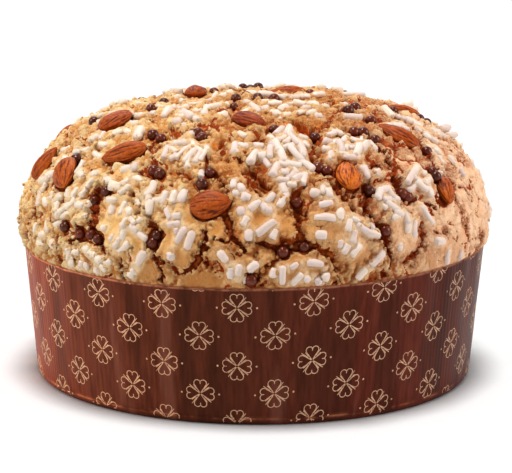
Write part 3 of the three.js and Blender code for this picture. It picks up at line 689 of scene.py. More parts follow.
def paper_look():
    k = Look("case_paper", 0.42, 0.07)
    k.bsdf.inputs["Specular Tint"].default_value = (1.0, 0.55, 0.4, 1)
    crease, rim, side, left = (k.attr(a) for a in ("crease", "rim", "side", "left"))
    fibre = k.noise(2.4, 4, 0.6, co=k.stretch(1, 1, 0.12))
    f = k.noise(0.6, 2, 0.6)
    col = k.mix(k.span(fibre, 0.3, 0.7), srgb(54, 25, 15), srgb(70, 35, 23))
    # painted light: the right side and the back shifted redder, to follow how light falls there
    col = k.mix(side, col, k.mix(k.span(fibre, 0.3, 0.7), srgb(58, 21, 13), srgb(77, 33, 23)))
    # painted light: the left side redder and brighter, a painted warm sheen
    col = k.mix(left, col, k.mix(k.span(fibre, 0.3, 0.7), srgb(74, 31, 14), srgb(92, 43, 22)))
    # painted sheen and painted shade: soft vertical streaks, darker in some and lighter greyish in others
    painted_sheen_band = k.noise(13, 3, 0.5, co=k.stretch(1, 1, 0.12))
    col = k.mix(k.span(painted_sheen_band, 0.5, 0.36, 0.0, 0.5), col, srgb(36, 17, 9))
    col = k.mix(k.span(painted_sheen_band, 0.55, 0.66, 0.0, 0.28), col, srgb(104, 70, 60))
    # lighter along the fold at the foot: painted highlight, with wear
    col = k.mix(k.math("MULTIPLY", crease, k.span(k.noise(9, 2), 0.42, 0.68, 0.0, 0.8)), col, srgb(134, 84, 60))
    col = k.mix(k.math("MULTIPLY", rim, k.span(k.noise(4, 2, 0.6, co=k.stretch(1, 1, 0.2)), 0.3, 0.6, 0.2, 1.0)), col, srgb(156, 108, 84))
    k.set("Base Color", col)
    k.set("Roughness", k.span(fibre, 0.3, 0.7, 0.36, 0.5))
    k.set("Normal", k.bump(k.math("ADD", f, fibre), 0.14, 0.35))
    return k.m


def ink_look():
    k = Look("printed_ink", 0.5, 0.4)
    f = k.noise(1.4, 3, 0.6)
    col = k.mix(k.span(f, 0.3, 0.75), srgb(170, 138, 108), srgb(134, 102, 78))
    # painted light: the print made greyer on the left to offset the warm light there
    col = k.mix(k.attr("left"), col, srgb(126, 112, 88))
    k.set("Base Color", col)
    k.set("Normal", k.bump(f, 0.1, 0.3))
    return k.m


def floor_look():
    k = Look("floor_white", 0.9, 0.2)
    k.set("Base Color", k.mix(k.noise(300.0, 2), (0.93, 0.93, 0.93, 1), (0.95, 0.95, 0.95, 1)))
    return k.m


# ---------------------------------------------------------------- crust: a square grid laid over the dome
RINGS = 220
SPREAD = 0.3


def dome_profile():
    t = np.linspace(0, 1, 8001)
    phi = math.pi / 2 * (0.5 + 0.5 * np.cos(math.pi * t))
    r = DOME_R * np.clip(np.cos(phi), 0, 1) ** (2 / DOME_N)
    z = DOME_Z + DOME_H * np.clip(np.sin(phi), 0, 1) ** (2 / DOME_M)
    r[0], r[-1], z[-1] = 0, DOME_R, DOME_Z
    tail = np.array([(108.5, 65.0), (108.4, 63.7), (108.2, 62.8), (107.8, 62.42), (106.4, 62.3), (105.5, 61.4), (105.1, 58.0)])
    r, z = np.append(r, tail[:, 0]), np.append(z, tail[:, 1])
    s = np.append(0, np.cumsum(np.hypot(np.diff(r), np.diff(z))))
    return s, r, z


def crust_grid():
    n = 2 * RINGS
    t = np.linspace(-1, 1, n + 1)
    a, b = np.meshgrid(t, t)
    a, b = a.ravel(), b.ravel()
    wide = np.abs(a) >= np.abs(b)
    r = np.where(wide, a, b)
    safe = np.where(np.abs(r) < 1e-9, 1, r)
    ang = np.where(wide, math.pi / 4 * b / safe, math.pi / 2 - math.pi / 4 * a / safe)
    u = np.abs(r)
    s_tab, r_tab, z_tab = dome_profile()
    s = s_tab[-1] * (u + SPREAD * u * (1 - u))
    rho, z = np.interp(s, s_tab, r_tab), np.interp(s, s_tab, z_tab)
    sign = np.where(r < 0, -1, 1)
    p = np.stack([sign * rho * np.cos(ang), sign * rho * np.sin(ang), z], 1)
    i = np.arange((n + 1) * (n + 1)).reshape(n + 1, n + 1)
    quads = np.stack([i[:-1, :-1], i[:-1, 1:], i[1:, 1:], i[1:, :-1]], -1)
    return p, quads


def traced_segments():
    """The front cracks as short segments on the dome: start, end, their half-widths in mm, and warmth."""
    px, half, hot, ends = [], [], [], []
    for c in CRACKS:
        pts = np.array(c[1:], float)
        for j in range(len(pts) - 1):
            steps = max(1, int(np.hypot(*(pts[j + 1, :2] - pts[j, :2])) / 3.0))
            for q in range(steps + (j == len(pts) - 2)):
                f = q / steps
                px.append(pts[j, :2] * (1 - f) + pts[j + 1, :2] * f)
                half.append(pts[j, 2] * (1 - f) + pts[j + 1, 2] * f)
                hot.append(c[0])
                ends.append(False)
        ends[-1] = True
    px, half, hot, ends = np.array(px), np.array(half), np.array(hot), np.array(ends)
    step = np.zeros_like(px)
    step[:-1] = px[1:] - px[:-1]
    step[ends] = np.roll(step, 1, 0)[ends]
    side = np.stack([-step[:, 1], step[:, 0]], 1)
    side /= np.maximum(np.hypot(*side.T), 1e-6)[:, None]
    mid = on_dome(px)
    span = np.linalg.norm(on_dome(px + side * half[:, None] * 0.5) - on_dome(px - side * half[:, None] * 0.5), axis=1)
    w = np.clip(span, half / 2.3, half / 2.3 * 1.9)
    go = ~ends[:-1]
    return mid[:-1][go], mid[1:][go], w[:-1][go], w[1:][go], hot[:-1][go]


def front_cracks(q):
    """Signed distance in mm to the nearest traced crack's edge (under 0 inside), that crack's half-width and warmth."""
    c = np.full(len(q), 30.0)
    wide = np.ones(len(q))
    warm = np.zeros(len(q))
    for a, b, wa, wb, hot in zip(*traced_segments()):
        reach = max(wa, wb) + 5
        lo, hi = np.minimum(a, b) - reach, np.maximum(a, b) + reach
        k = np.nonzero((q[:, 0] > lo[0]) & (q[:, 0] < hi[0]) & (q[:, 2] > lo[2]) & (q[:, 2] < hi[2]) & (q[:, 1] > lo[1]) & (q[:, 1] < hi[1]))[0]
        if len(k) == 0:
            continue
        d = b - a
        t = np.clip((q[k] - a) @ d / max(d @ d, 1e-9), 0, 1)
        w = wa + (wb - wa) * t
        v = np.linalg.norm(q[k] - a - d * t[:, None], axis=1) - w
        less = v < c[k]
        k = k[less]
        c[k], wide[k], warm[k] = v[less], w[less], hot
    return c, wide, warm


def crack_field(p0):
    """For points on the plain dome: signed distance to the nearest crack's edge, its half-width and warmth, how
    far the point is in the front's view, and the waver shared by everything here."""
    front = smooth(-0.03, 0.06, dome_normal(p0) @ BACK)
    warp = np.stack([noise(p0, 5.5, s) + 0.55 * noise(p0, 2.3, s + 1) for s in (21, 31, 41)], 1)
    c1, w1, hot1 = front_cracks(p0 + 0.9 * warp)
    f1, f2, _ = cells(p0 + 2.2 * warp, 27, 61)
    w2 = 0.5 + 2.4 * np.clip(noise(p0, 38, 63) + 0.15, 0, 1)
    c2 = (f2 - f1) * 13.5 - w2 + 9 * front
    hot2 = smooth(0.0, 0.5, noise(p0, 30, 64))
    back = c2 < c1
    return np.where(back, c2, c1), np.where(back, w2, w1), np.where(back, hot2, hot1), front, warp


def glaze_over(p0, rods):
    """Where glaze holds the sugar, 1 close to a rod and 0 away from all, and where rods lie so close that it is white."""
    out, many = np.zeros(len(p0)), np.zeros(len(p0))
    for rod in rods:
        a, d, half = rod["p0"], rod["lie"], rod["length"] / 2
        reach = half + 4
        k = np.nonzero((np.abs(p0[:, 0] - a[0]) < reach) & (np.abs(p0[:, 1] - a[1]) < reach) & (np.abs(p0[:, 2] - a[2]) < reach))[0]
        v = p0[k] - a
        t = np.clip(v @ d, -half, half)
        away = np.linalg.norm(v - t[:, None] * d, axis=1) - rod["width"] / 2
        out[k] = np.maximum(out[k], smooth(1.9, 0.1, away) * rod["held"])
        many[k] += smooth(2.3, 0.2, away)
    return out, np.clip(1.4 * (many - 1.15), 0, 1)


def grow(p0, n, rods):
    """How far the crust stands off the plain dome, and the masks that its colours use."""
    c, w, hot, front, warp = crack_field(p0)
    held, milk = glaze_over(p0 + 0.5 * warp, rods)
    # hair cracks
    e1, e2, _ = cells(p0 + 1.6 * warp, 10.5, 71)
    hair = (e2 - e1) * 5.2
    hair_on = smooth(0.02, 0.3, noise(p0, 17, 73))
    # where it is crumbly
    calm = np.zeros(len(p0))
    spots = np.array(SMOOTH_SPOTS, float)
    centre = on_dome(spots[:, :2])
    for m, r in zip(centre, spots[:, 2] / 2.25):
        d = np.linalg.norm(p0 - m, axis=1)
        calm = np.maximum(calm, smooth(r * 1.2, r * 0.7, d + 1.8 * warp[:, 0]))
    rough = np.where(front > 0.5, 1 - calm, smooth(-0.35, 0.25, noise(p0, 32, 81)))
    shoulder = smooth(58, 84, p0[:, 0]) * smooth(112, 96, p0[:, 2]) * (front > 0.5)
    rough = rough * (1 - 0.62 * shoulder)
    hair_on = np.maximum(hair_on, 0.85 * shoulder)
    high = smooth(82, 98, p0[:, 2]) * smooth(-0.3, 0.1, noise(p0, 19, 161))
    hair_on = np.maximum(hair_on, high)
    hair = hair - 0.2 * high
    # beside the cracks the glaze has torn away from toasted crumb
    torn = smooth(3.0, 0.6, c + 2.6 * noise(p0, 6.5, 83) + 1.4 * noise(p0, 2.6, 84)) * smooth(-0.25, 0.3, noise(p0, 15, 85))
    torn = np.maximum(torn, 0.95 * smooth(-0.1, 0.32, noise(p0, 9, 155)) * smooth(90, 104, p0[:, 2]))
    torn = np.maximum(torn, 0.9 * smooth(-0.25, 0.2, noise(p0, 11, 157)) * smooth(86, 98, p0[:, 2]) * smooth(0, 28, p0[:, 0]) * smooth(86, 66, p0[:, 0]))
    torn = torn * (1 - 0.9 * held)
    rough = np.clip(np.maximum(rough, torn), 0.1, 1)
    amber = np.zeros(len(p0))
    spots = np.array(AMBER, float)
    for m, r in zip(on_dome(spots[:, :2]), spots[:, 2] / 2.25):
        k = np.nonzero(np.max(np.abs(p0 - m), axis=1) < 2.2 * r)[0]
        d = np.linalg.norm(p0[k] - m, axis=1) + 1.6 * noise(p0[k], 4.4, 159) + 0.8 * noise(p0[k], 1.7, 160)
        amber[k] = np.maximum(amber[k], smooth(r * 1.15, r * 0.7, d))
    amber = amber * (1 - held)
    rough = rough * (1 - 0.55 * amber)
    # grains: rounded lumps with sharp valleys, at three sizes
    g1, _, r1 = cells(p0 + 0.5 * warp, 2.7, 91)
    g2, _, r2 = cells(p0, 1.2, 95)
    grain = (0.3 + 0.7 * r1) * np.sqrt(np.clip(1 - (g1 / 0.66) ** 2, 0, 1))
    billow = 1.7 * np.abs(noise(p0, 5.2, 141)) + 1.0 * np.abs(noise(p0, 2.7, 142)) + 0.5 * np.abs(noise(p0, 1.3, 143))
    g3, _, r3 = cells(p0, 4.2, 99)
    pit = smooth(0.24, 0.13, g3) * (r3 > 0.35)
    g4, _, r4 = cells(p0, 3.1, 103)
    pore = smooth(0.13, 0.07, g4) * (r4 > 0.5)
    roll = 0.8 * fbm(p0, 13, 2, 111) + 0.25 * noise(p0, 4.4, 113)
    lumps = 0.42 * grain + 1.45 * billow + 0.25 * (0.5 - g2) - 1.25
    small = rough * (1 - 0.55 * held) * lumps - rough * pit * 0.8 - (1 - rough) * pore * 0.45
    ragged = c - 0.1 + 1.0 * (r1 - 0.5) + 0.7 * (r2 - 0.5) + 0.6 * noise(p0, 1.7, 117)
    inside = smooth(0.1, -0.3, ragged) * (1 - 0.75 * held)
    deep = np.clip(1.5 + 1.4 * w, 1.7, 5.0)
    floor_h = -deep + 0.8 * fbm(p0, 3.2, 2, 121) + 1.2 * (lumps + 0.3)
    edge = 0.4 * np.exp(-((np.clip(c, 0, 9) / 1.1) ** 2)) - 0.25 * np.exp(-np.clip(c, 0, 30) / 3.0)
    top = roll + small + edge + 0.35 - 0.9 * amber - 0.6 * torn + 0.85 * held + 0.4 * milk
    h = top * (1 - inside) + floor_h * inside
    cut = hair_on * smooth(0.55, 0.1, hair + 0.35 * (r2 - 0.5)) * (1 - inside) * (1 - 0.8 * held)
    h = h - 1.0 * cut
    rim = np.minimum(ragged + 1.2 * held, hair + 0.35 * (r2 - 0.5) - 0.3 + 2.5 * (1 - hair_on) + 2.0 * held)
    hot = np.where(c < 1.0, hot, 0.25)
    # painted shade: darker in the hollows between grains and in pits and pores
    painted_cavity_shade = np.clip(smooth(0.12, -0.6, small) * rough * (1 - milk) + 0.8 * (rough * pit + (1 - rough) * pore), 0, 1)
    # painted highlight: lighter on the tops of the lumps
    painted_peak_highlight = smooth(-0.2, 0.75, lumps) * rough
    masks = dict(rim=np.clip(rim, -3, 3), hot=hot, crumb=rough, painted_cavity_shade=painted_cavity_shade, painted_peak_highlight=painted_peak_highlight, torn=torn * (1 - inside), amber=amber, held=held * (1 - inside), milk=milk * (1 - inside))
    return h, masks, front, c


def almond_shape(s):
    return s**0.5 * (1 - s) ** 0.75 / (0.4**0.5 * 0.6**0.75)


def sink_for_almonds(p, n, h, masks):
    """The glaze dips under each almond and closes up to it, with a thin groove around it coloured dark as painted
    shade.
    """
    for spec in ALMONDS:
        axes, centre, _ = almond_frame(spec)
        size, wide = spec[6], spec[7]
        L, Wd, T = ALMOND_L * size, ALMOND_W * size * wide, ALMOND_T * size
        k = np.nonzero(np.linalg.norm(p - centre, axis=1) < L)[0]
        v = (p[k] - centre) @ axes
        s = np.clip(v[:, 0] / L + 0.45, 0.002, 0.998)
        f = almond_shape(s)
        level = spec[5]
        # half-width of the almond where the glaze meets it
        zc = (0.5 - level) * 2
        girth = np.sqrt(max(1 - zc * zc, 0.1))
        over = np.abs(v[:, 0] / L - 0.05) * 2
        d = np.hypot(v[:, 1] / (Wd / 2), 0) / np.maximum(f * girth, 0.05)
        past = np.clip(np.maximum(v[:, 0] / L - 0.53, -0.44 - v[:, 0] / L), 0, 1) * L
        gap = np.where(past > 0, past + np.abs(v[:, 1]), (d - 1) * Wd / 2 * f * girth)
        under = smooth(0.4, -0.8, gap)
        h[k] = h[k] * (1 - under) - 2.6 * under
        line = np.exp(-((gap - 0.1) / 0.55) ** 2)
        h[k] -= 0.5 * line
        # painted shade: the line round the almond takes the dark crack colours
        masks["rim"][k] = np.minimum(masks["rim"][k], np.where(gap < 0.1, -0.6, gap - 0.5))
        masks["crumb"][k] = masks["crumb"][k] * smooth(0.0, 2.0, gap)
        masks["torn"][k] *= smooth(0.0, 1.5, gap)
    return h


def zone_masks(p0):
    """Light and shade painted by place: painted light makes the glaze lighter cream towards the left and the top (and
    paler on the far side) and rosier towards the right; painted shade with some browning darkens the band above the
    case, and painted shade darkens the line at its foot.
    """
    x, y, z = p0.T
    wave = noise(p0, 26, 131)
    # painted light: lighter towards the left and the top, and paler on the far side
    pale_painted_light = smooth(-6, -58, x + 14 * wave) + 0.22 * smooth(103, 120, z + 7 * wave) + 0.5 * smooth(20, 70, y)
    return dict(
        pale_painted_light=np.clip(pale_painted_light, 0, 1) * (1 - 0.6 * smooth(30, 90, x)),
        # painted light: rosier towards the right, where warm light is painted
        pink_painted_light=smooth(18, 92, x + 10 * wave),
        # painted shade: a dark line at the crust's foot, where it meets the case
        foot=smooth(63.7, 62.7, z + 0.5 * noise(p0, 2.0, 135)),
        # painted shade with some browning: darker low on the front, above the case
        low=np.clip(smooth(86, 64, z) * (1 - 0.7 * smooth(70, 104, x)) + 0.25 * noise(p0, 14, 133), 0, 1),
    )


def hollow_for_pearls(p0, h, masks, pearls):
    """Each pearl sits in a hollow that the glaze has drawn back from, coloured with the dark crack colours as painted
    shade.
    """
    for q in pearls:
        k = np.nonzero(np.max(np.abs(p0 - q), axis=1) < 6.5)[0]
        d = np.linalg.norm(p0[k] - q, axis=1) + 1.1 * noise(p0[k], 2.4, 151) + 0.5 * noise(p0[k], 1.2, 152)
        well = smooth(4.3, 2.5, d)
        h[k] = h[k] * (1 - well) + np.minimum(h[k] - 0.4, -1.5) * well
        masks["rim"][k] = np.minimum(masks["rim"][k], 1.2 * (d - 3.5))
        masks["held"][k] *= 1 - well


def build_crust(rods, pearls):
    look = crust_look()
    p0, quads = crust_grid()
    n = dome_normal(p0)
    h, masks, front, c = grow(p0, n, rods)
    hollow_for_pearls(p0, h, masks, pearls)
    h = sink_for_almonds(p0 + n * swelling(p0)[:, None], n, h, masks)
    held = smooth(62.5, 64.6, p0[:, 2])
    h = np.where(h > 0, h * (0.1 + 0.9 * held), h * (0.3 + 0.7 * held))
    p = p0 + n * (swelling(p0) + h)[:, None]
    p = follow_case(p)
    masks.update(zone_masks(p0))
    side = quads.shape[0] // 2
    normals = mesh_normals(p, quads.reshape(-1, 4))
    for name, part in (("crust_front", quads[:side]), ("crust_back", quads[side:])):
        f = part.reshape(-1, 4)
        used, inv = np.unique(f, return_inverse=True)
        ob = make_mesh(name, p[used], inv.reshape(-1, 4), look, normals[used], {k: v[used] for k, v in masks.items()})
        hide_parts("cake")
    # the plain body inside and in the case
    s_tab, r_tab, z_tab = dome_profile()
    stations = [(0, 1.75)] + [(wall_at(z) - 1.75, z) for z in (1.75, 4, 12, 24, 36, 48, 57)]
    phis = np.linspace(0, math.pi / 2, 14)
    for ph in phis:
        stations.append(((DOME_R - 5.2) * math.cos(ph) ** (2 / DOME_N), 60 + (DOME_H - 0.5) * math.sin(ph) ** (2 / DOME_M)))
    stations[-1] = (0, stations[-1][1])
    lathe("cake_body", stations, 180, core_look(), "cake")
    return p0, n, h, p, normals, front, c, masks


def lathe(name, profile, sides, look, node):
    """A closed body from a profile that starts and ends on the axis."""
    ang = np.arange(sides) * 2 * math.pi / sides
    verts, rings = [], []
    for r, z in profile:
        if r == 0:
            rings.append(np.full(sides, len(verts)))
            verts.append((0, 0, z))
        else:
            rings.append(np.arange(len(verts), len(verts) + sides))
            verts += [(r * math.cos(a), r * math.sin(a), z) for a in ang]
    tris = []
    for a, b in zip(rings[:-1], rings[1:]):
        for i in range(sides):
            j = (i + 1) % sides
            if a[i] != a[j]:
                tris.append((a[i], a[j], b[j]))
            if b[i] != b[j]:
                tris.append((a[i], b[j], b[i]))
    ob = make_mesh(name, follow_case(np.array(verts, float)), tris, look)
    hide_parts(node)
    return ob


# ---------------------------------------------------------------- toppings
class Surface:
    """The finished crust, to set things on: the nearest grid point to a point of the plain dome."""

    def __init__(self, p0, n, h, p, nrm, front, c):
        self.p0, self.n, self.h, self.p, self.nrm, self.front, self.c = p0, n, h, p, nrm, front, c
        self.size = 4.0
        key = np.floor(p0 / self.size).astype(int)
        self.table = {}
        order = np.lexsort((key[:, 2], key[:, 1], key[:, 0]))
        ks = key[order]
        cut = np.nonzero(np.any(ks[1:] != ks[:-1], axis=1))[0] + 1
        for grp in np.split(order, cut):
            self.table[tuple(key[grp[0]])] = grp

    def around(self, q, radius):
        """The mean height of the crust within radius of q."""
        k = np.floor(q / self.size).astype(int)
        found = [
            self.table[(k[0] + x, k[1] + y, k[2] + z)]
            for x in (-1, 0, 1)
            for y in (-1, 0, 1)
            for z in (-1, 0, 1)
            if (k[0] + x, k[1] + y, k[2] + z) in self.table
        ]
        i = np.concatenate(found)
        i = i[np.linalg.norm(self.p0[i] - q, axis=1) < radius]
        return float(self.h[i].mean()) if len(i) else 0.0


def toward(px_at, lift, depth_shift_max=5.0):
    """A point lift mm above the plain dome's swelling that the camera sees at this pixel, as p0 and the true place."""
    p0 = on_dome([px_at])[0]
    n = dome_normal(p0[None])[0]
    ray = rays([px_at])[0]
    p = follow_case(p0[None] + n * swelling(p0[None])[0])[0]
    back = min(lift / max(abs(ray @ n), 0.15), depth_shift_max)
    return p0, n, p - ray * back, ray


def rod_mesh(centre, along, up, length, width, bend, coated, rng, sides=9):
    """One blunt sugar rod, slightly bent and uneven: vertices and triangles."""
    across = np.cross(up, along)
    up = np.cross(along, across)
    r = width / 2
    end = min(0.26 * length, 1.1)
    st = np.array([-length / 2, -length / 2 + 0.3 * end, -length / 2 + end, 0, length / 2 - end, length / 2 - 0.3 * end, length / 2])
    rad = r * np.array([0.5, 0.84, 1.0, 1.0, 1.0, 0.84, 0.5]) * (1 + (0.08 + 0.08 * coated) * rng.normal(size=7))
    a = np.arange(sides) * 2 * math.pi / sides + rng.uniform(0, 1)
    wob = 1 + 0.08 * rng.normal(size=sides)
    sag = bend * (1 - (2 * st / length) ** 2)
    mid = centre + st[:, None] * along + sag[:, None] * across
    ring = np.cos(a)[:, None] * across + np.sin(a)[:, None] * up
    v = mid[:, None] + (rad[:, None] * wob[None])[:, :, None] * ring[None]
    v = v + (0.025 + 0.045 * coated) * width * rng.normal(size=v.shape)
    v = np.concatenate([v.reshape(-1, 3), [mid[0] - along * 0.06, mid[-1] + along * 0.06]])
    t = []
    for k in range(6):
        for i in range(sides):
            j = (i + 1) % sides
            a0, a1, b0, b1 = k * sides + i, k * sides + j, (k + 1) * sides + i, (k + 1) * sides + j
            t += [(a0, b1, a1), (a0, b0, b1)]
    e0, e1 = 7 * sides, 7 * sides + 1
    for i in range(sides):
        j = (i + 1) % sides
        t += [(e0, i, j), (e1, 6 * sides + j, 6 * sides + i)]
    return v, np.array(t)


# Front areas strewn thick with small sugar rods under glaze: x, y, radius in pixels of the view, and how many.
STREWN = [
    (58, 172, 20, 4), (56, 205, 18, 3), (88, 152, 18, 4), (112, 126, 18, 5), (140, 112, 16, 4), (176, 104, 18, 6), (222, 100, 22, 7),
    (190, 122, 16, 4), (190, 150, 18, 6), (150, 190, 20, 3), (128, 178, 16, 2), (94, 182, 16, 3), (290, 102, 28, 9), (240, 122, 18, 2),
    (330, 100, 20, 5), (350, 145, 18, 4), (405, 120, 20, 5), (438, 140, 16, 4), (418, 180, 16, 3), (76, 205, 18, 3), (44, 232, 12, 2),
    (284, 150, 24, 6), (292, 174, 16, 4), (390, 200, 12, 2), (130, 214, 18, 2), (98, 262, 14, 2),
]


def image_rod(x, y, ln, deg, wd, cream, held, rng):
    """A rod that the view shows at x, y with this length, direction and width in pixels."""
    p0, n, _, _ = toward((x, y), 0)
    mm = np.linalg.norm(p0 - CAM_AT) / CAM_F
    a = math.radians(deg)
    v = (math.cos(a) * CAM_RIGHT + math.sin(a) * CAM_UP) * (ln * mm)
    push = -(v @ n) / (BACK @ n) if abs(BACK @ n) > 0.05 else 0.0
    room = math.sqrt(max(10.5**2 - v @ v, 4.0))
    d = v + BACK * float(np.clip(push, -room, room))
    length = np.linalg.norm(d)
    along = d / length
    lie = along - n * (along @ n)
    return dict(px=(x, y), p0=p0, n=n, along=along, lie=unit(lie), length=max(length - 0.2, 2.4), width=max(wd / 2.1, 2.3), rise=abs(d @ n) / 2, cream=float(np.clip(cream, 0, 1)), held=held, bend=rng.normal() * 0.03 * length)


def plan_rods():
    rng = np.random.RandomState(11)
    almonds = np.array([almond_frame(s)[1] for s in ALMONDS])
    rods = []
    for x, y, ln, deg, wd in RODS:
        cream = 0.2 + 0.65 * smooth(180, 90, x) + 0.3 * smooth(130, 100, y) + 0.12 * rng.normal()
        rods.append(image_rod(x, y, ln, deg, wd, cream, float(np.clip(0.75 + 0.2 * rng.normal(), 0.3, 1)), rng))
    at = [r[:2] for r in RODS] + list(PEARLS)
    for x, y, rad, many in STREWN:
        left, tries = many, 0
        while left and tries < 60:
            tries += 1
            t, u = rng.uniform(0, 2 * math.pi), rad * math.sqrt(rng.uniform())
            q = (x + u * math.cos(t), y + 0.8 * u * math.sin(t))
            if min(math.hypot(q[0] - a[0], q[1] - a[1]) for a in at) < 6.2:
                continue
            tilt = 20 + 70 * smooth(100, 150, q[1] + 0.0016 * (q[0] - 256) ** 2 * -1)
            rod = image_rod(q[0], q[1], rng.uniform(7, 12), rng.uniform(-1, 1) * tilt, rng.uniform(5, 6.6), rng.uniform(0.45, 1.0) - 0.3 * smooth(250, 350, q[0]), float(rng.uniform(0.8, 1)), rng)
            if rod["p0"][2] < 69 or np.min(np.linalg.norm(almonds - rod["p0"], axis=1)) < 9.5:
                continue
            at.append(q)
            rod["deep"] = 0.12
            rods.append(rod)
            left -= 1
    # the rest of the top and the far side, strewn in clusters
    n = 9000
    az = rng.uniform(0, 2 * math.pi, n)
    r = DOME_R * np.sqrt(rng.uniform(0, 0.985, n))
    z = DOME_Z + DOME_H * (1 - (r / DOME_R) ** DOME_N) ** (1 / DOME_M)
    phi = rng.uniform(0.03, 0.6, n)
    low = rng.uniform(0, 1, n) < 0.4
    r = np.where(low, DOME_R * np.cos(phi) ** (2 / DOME_N), r)
    z = np.where(low, DOME_Z + DOME_H * np.sin(phi) ** (2 / DOME_M), z)
    q = np.stack([r * np.cos(az), r * np.sin(az), z], 1)
    c, _, _, front, _ = crack_field(q)
    thick = noise(q, 30, 301) + 0.9 * rng.uniform(-1, 1, n)
    ok = (front < 0.25) & (c > 0.4) & (thick > 0.1) & (q[:, 2] > 69.5)
    taken = [rod["p0"] for rod in rods]
    want = 310
    for k in np.nonzero(ok)[0]:
        if want == 0:
            break
        if np.min(np.linalg.norm(almonds - q[k], axis=1)) < 10.5 or np.min(np.linalg.norm(np.array(taken) - q[k], axis=1)) < 3.3:
            continue
        nn = dome_normal(q[k][None])[0]
        tang = unit(np.cross(nn, rng.normal(size=3)))
        lean = rng.normal() * 0.16
        length, width = rng.uniform(4.2, 8.8), rng.uniform(2.4, 3.2)
        rods.append(dict(px=None, p0=q[k], n=nn, along=tang * math.cos(lean) + nn * math.sin(lean), lie=tang, length=length, width=width, rise=abs(math.sin(lean)) * length / 2, cream=float(np.clip(0.45 + 0.3 * rng.normal(), 0, 1)), held=float(rng.uniform(0.6, 1)), bend=rng.normal() * 0.03 * length))
        taken.append(q[k])
        want -= 1
    return rods


def build_rods(surf, rods):
    rng = np.random.RandomState(12)
    verts, tris, coat, shade = [], [], [], []
    base = 0
    for rod in rods:
        mean = surf.around(rod["p0"], 2.0)
        lift = mean - (rod.get("deep", 0.0) + 0.2 * rng.uniform() * rod["held"]) * rod["width"] + 0.5 * rod["rise"]
        if rod["px"] is not None:
            _, n, centre, _ = toward(rod["px"], lift)
        else:
            n = rod["n"]
            q = rod["p0"]
            centre = follow_case((q + n * (swelling(q[None])[0] + lift))[None])[0]
        along = rod["along"]
        up = n - along * (n @ along)
        up = up / np.linalg.norm(up) if np.linalg.norm(up) > 0.1 else unit(np.cross(along, CAM_RIGHT))
        v, t = rod_mesh(centre, along, up, rod["length"], rod["width"] * (1 + 0.1 * rod["cream"]), rod["bend"], rod["cream"], rng)
        verts.append(v)
        tris.append(t + base)
        base += len(v)
        # the glaze climbs its sides
        rise = ((v - centre) @ up) / (rod["width"] / 2)
        coat.append(np.clip(0.7 * rod["cream"] + 0.7 * smooth(0.2, -0.6, rise), 0, 1))
        shade.append(np.clip(0.35 + 0.3 * rng.normal() + 0.12 * rng.normal(size=len(v)), 0, 1))
    ob = make_mesh("sugar_rods", np.concatenate(verts), np.concatenate(tris), sugar_look(), attrs={"coat": np.concatenate(coat), "shade": np.concatenate(shade)})
    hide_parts("cake")


def ball(rings=10, sides=16):
    v, t = [(0, 0, 1)], []
    for k in range(1, rings):
        a = math.pi * k / rings
        v += [(math.sin(a) * math.cos(b), math.sin(a) * math.sin(b), math.cos(a)) for b in np.arange(sides) * 2 * math.pi / sides]
    v.append((0, 0, -1))
    for i in range(sides):
        j = (i + 1) % sides
        t.append((0, 1 + i, 1 + j))
        for k in range(rings - 2):
            a, b = 1 + k * sides, 1 + (k + 1) * sides
            t += [(a + i, b + i, b + j), (a + i, b + j, a + j)]
        t.append((len(v) - 1, 1 + (rings - 2) * sides + j, 1 + (rings - 2) * sides + i))
    return np.array(v, float), np.array(t)


def plan_pearls(rods):
    """Where the pearls lie on the plain dome: those seen, then others on the top and the far side."""
    rng = np.random.RandomState(29)
    seen = [on_dome([q])[0] for q in PEARLS]
    almonds = np.array([almond_frame(s)[1] for s in ALMONDS])
    taken = seen + [rod["p0"] for rod in rods if rod["px"] is None]
    n = 6000
    az = rng.uniform(0, 2 * math.pi, n)
    r = DOME_R * np.sqrt(rng.uniform(0, 0.96, n))
    q = np.stack([r * np.cos(az), r * np.sin(az), DOME_Z + DOME_H * (1 - (r / DOME_R) ** DOME_N) ** (1 / DOME_M)], 1)
    c, _, _, front, _ = crack_field(q)
    ok = (front < 0.2) & (q[:, 2] > 74) & ((c < 2.5) | (rng.uniform(0, 1, n) < 0.4))
    more = []
    for k in np.nonzero(ok)[0]:
        if len(more) == 62:
            break
        if np.min(np.linalg.norm(almonds - q[k], axis=1)) > 11 and np.min(np.linalg.norm(np.array(taken) - q[k], axis=1)) > 4.2:
            more.append(q[k])
            taken.append(q[k])
    return seen, more


def build_pearls(surf, more):
    rng = np.random.RandomState(30)
    bv, bt = ball()
    verts, tris, shade = [], [], []

    def add(centre):
        r = 2.7 * rng.uniform(0.88, 1.06)
        axes = np.linalg.qr(rng.normal(size=(3, 3)))[0]
        if np.linalg.det(axes) < 0:
            axes[:, 0] *= -1
        v = (bv * r * rng.uniform(0.95, 1.04, 3)) @ axes.T
        v = v * (1 + 0.03 * noise(v + centre, 2.6, 7))[:, None] + centre
        tris.append(bt + sum(len(x) for x in verts))
        verts.append(v)
        shade.append(np.full(len(v), rng.uniform(0, 1)))

    for x, y in PEARLS:
        mean = surf.around(on_dome([(x, y)])[0], 2.2)
        add(toward((x, y), max(mean, -3.2) + 1.5)[2])
    for q in more:
        n = dome_normal(q[None])[0]
        mean = surf.around(q, 2.2)
        add(follow_case((q + n * (swelling(q[None])[0] + max(mean, -3.2) + 1.5))[None])[0])
    ob = make_mesh("chocolate_pearls", np.concatenate(verts), np.concatenate(tris), pearl_look(), attrs={"shade": np.concatenate(shade)})
    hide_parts("cake")


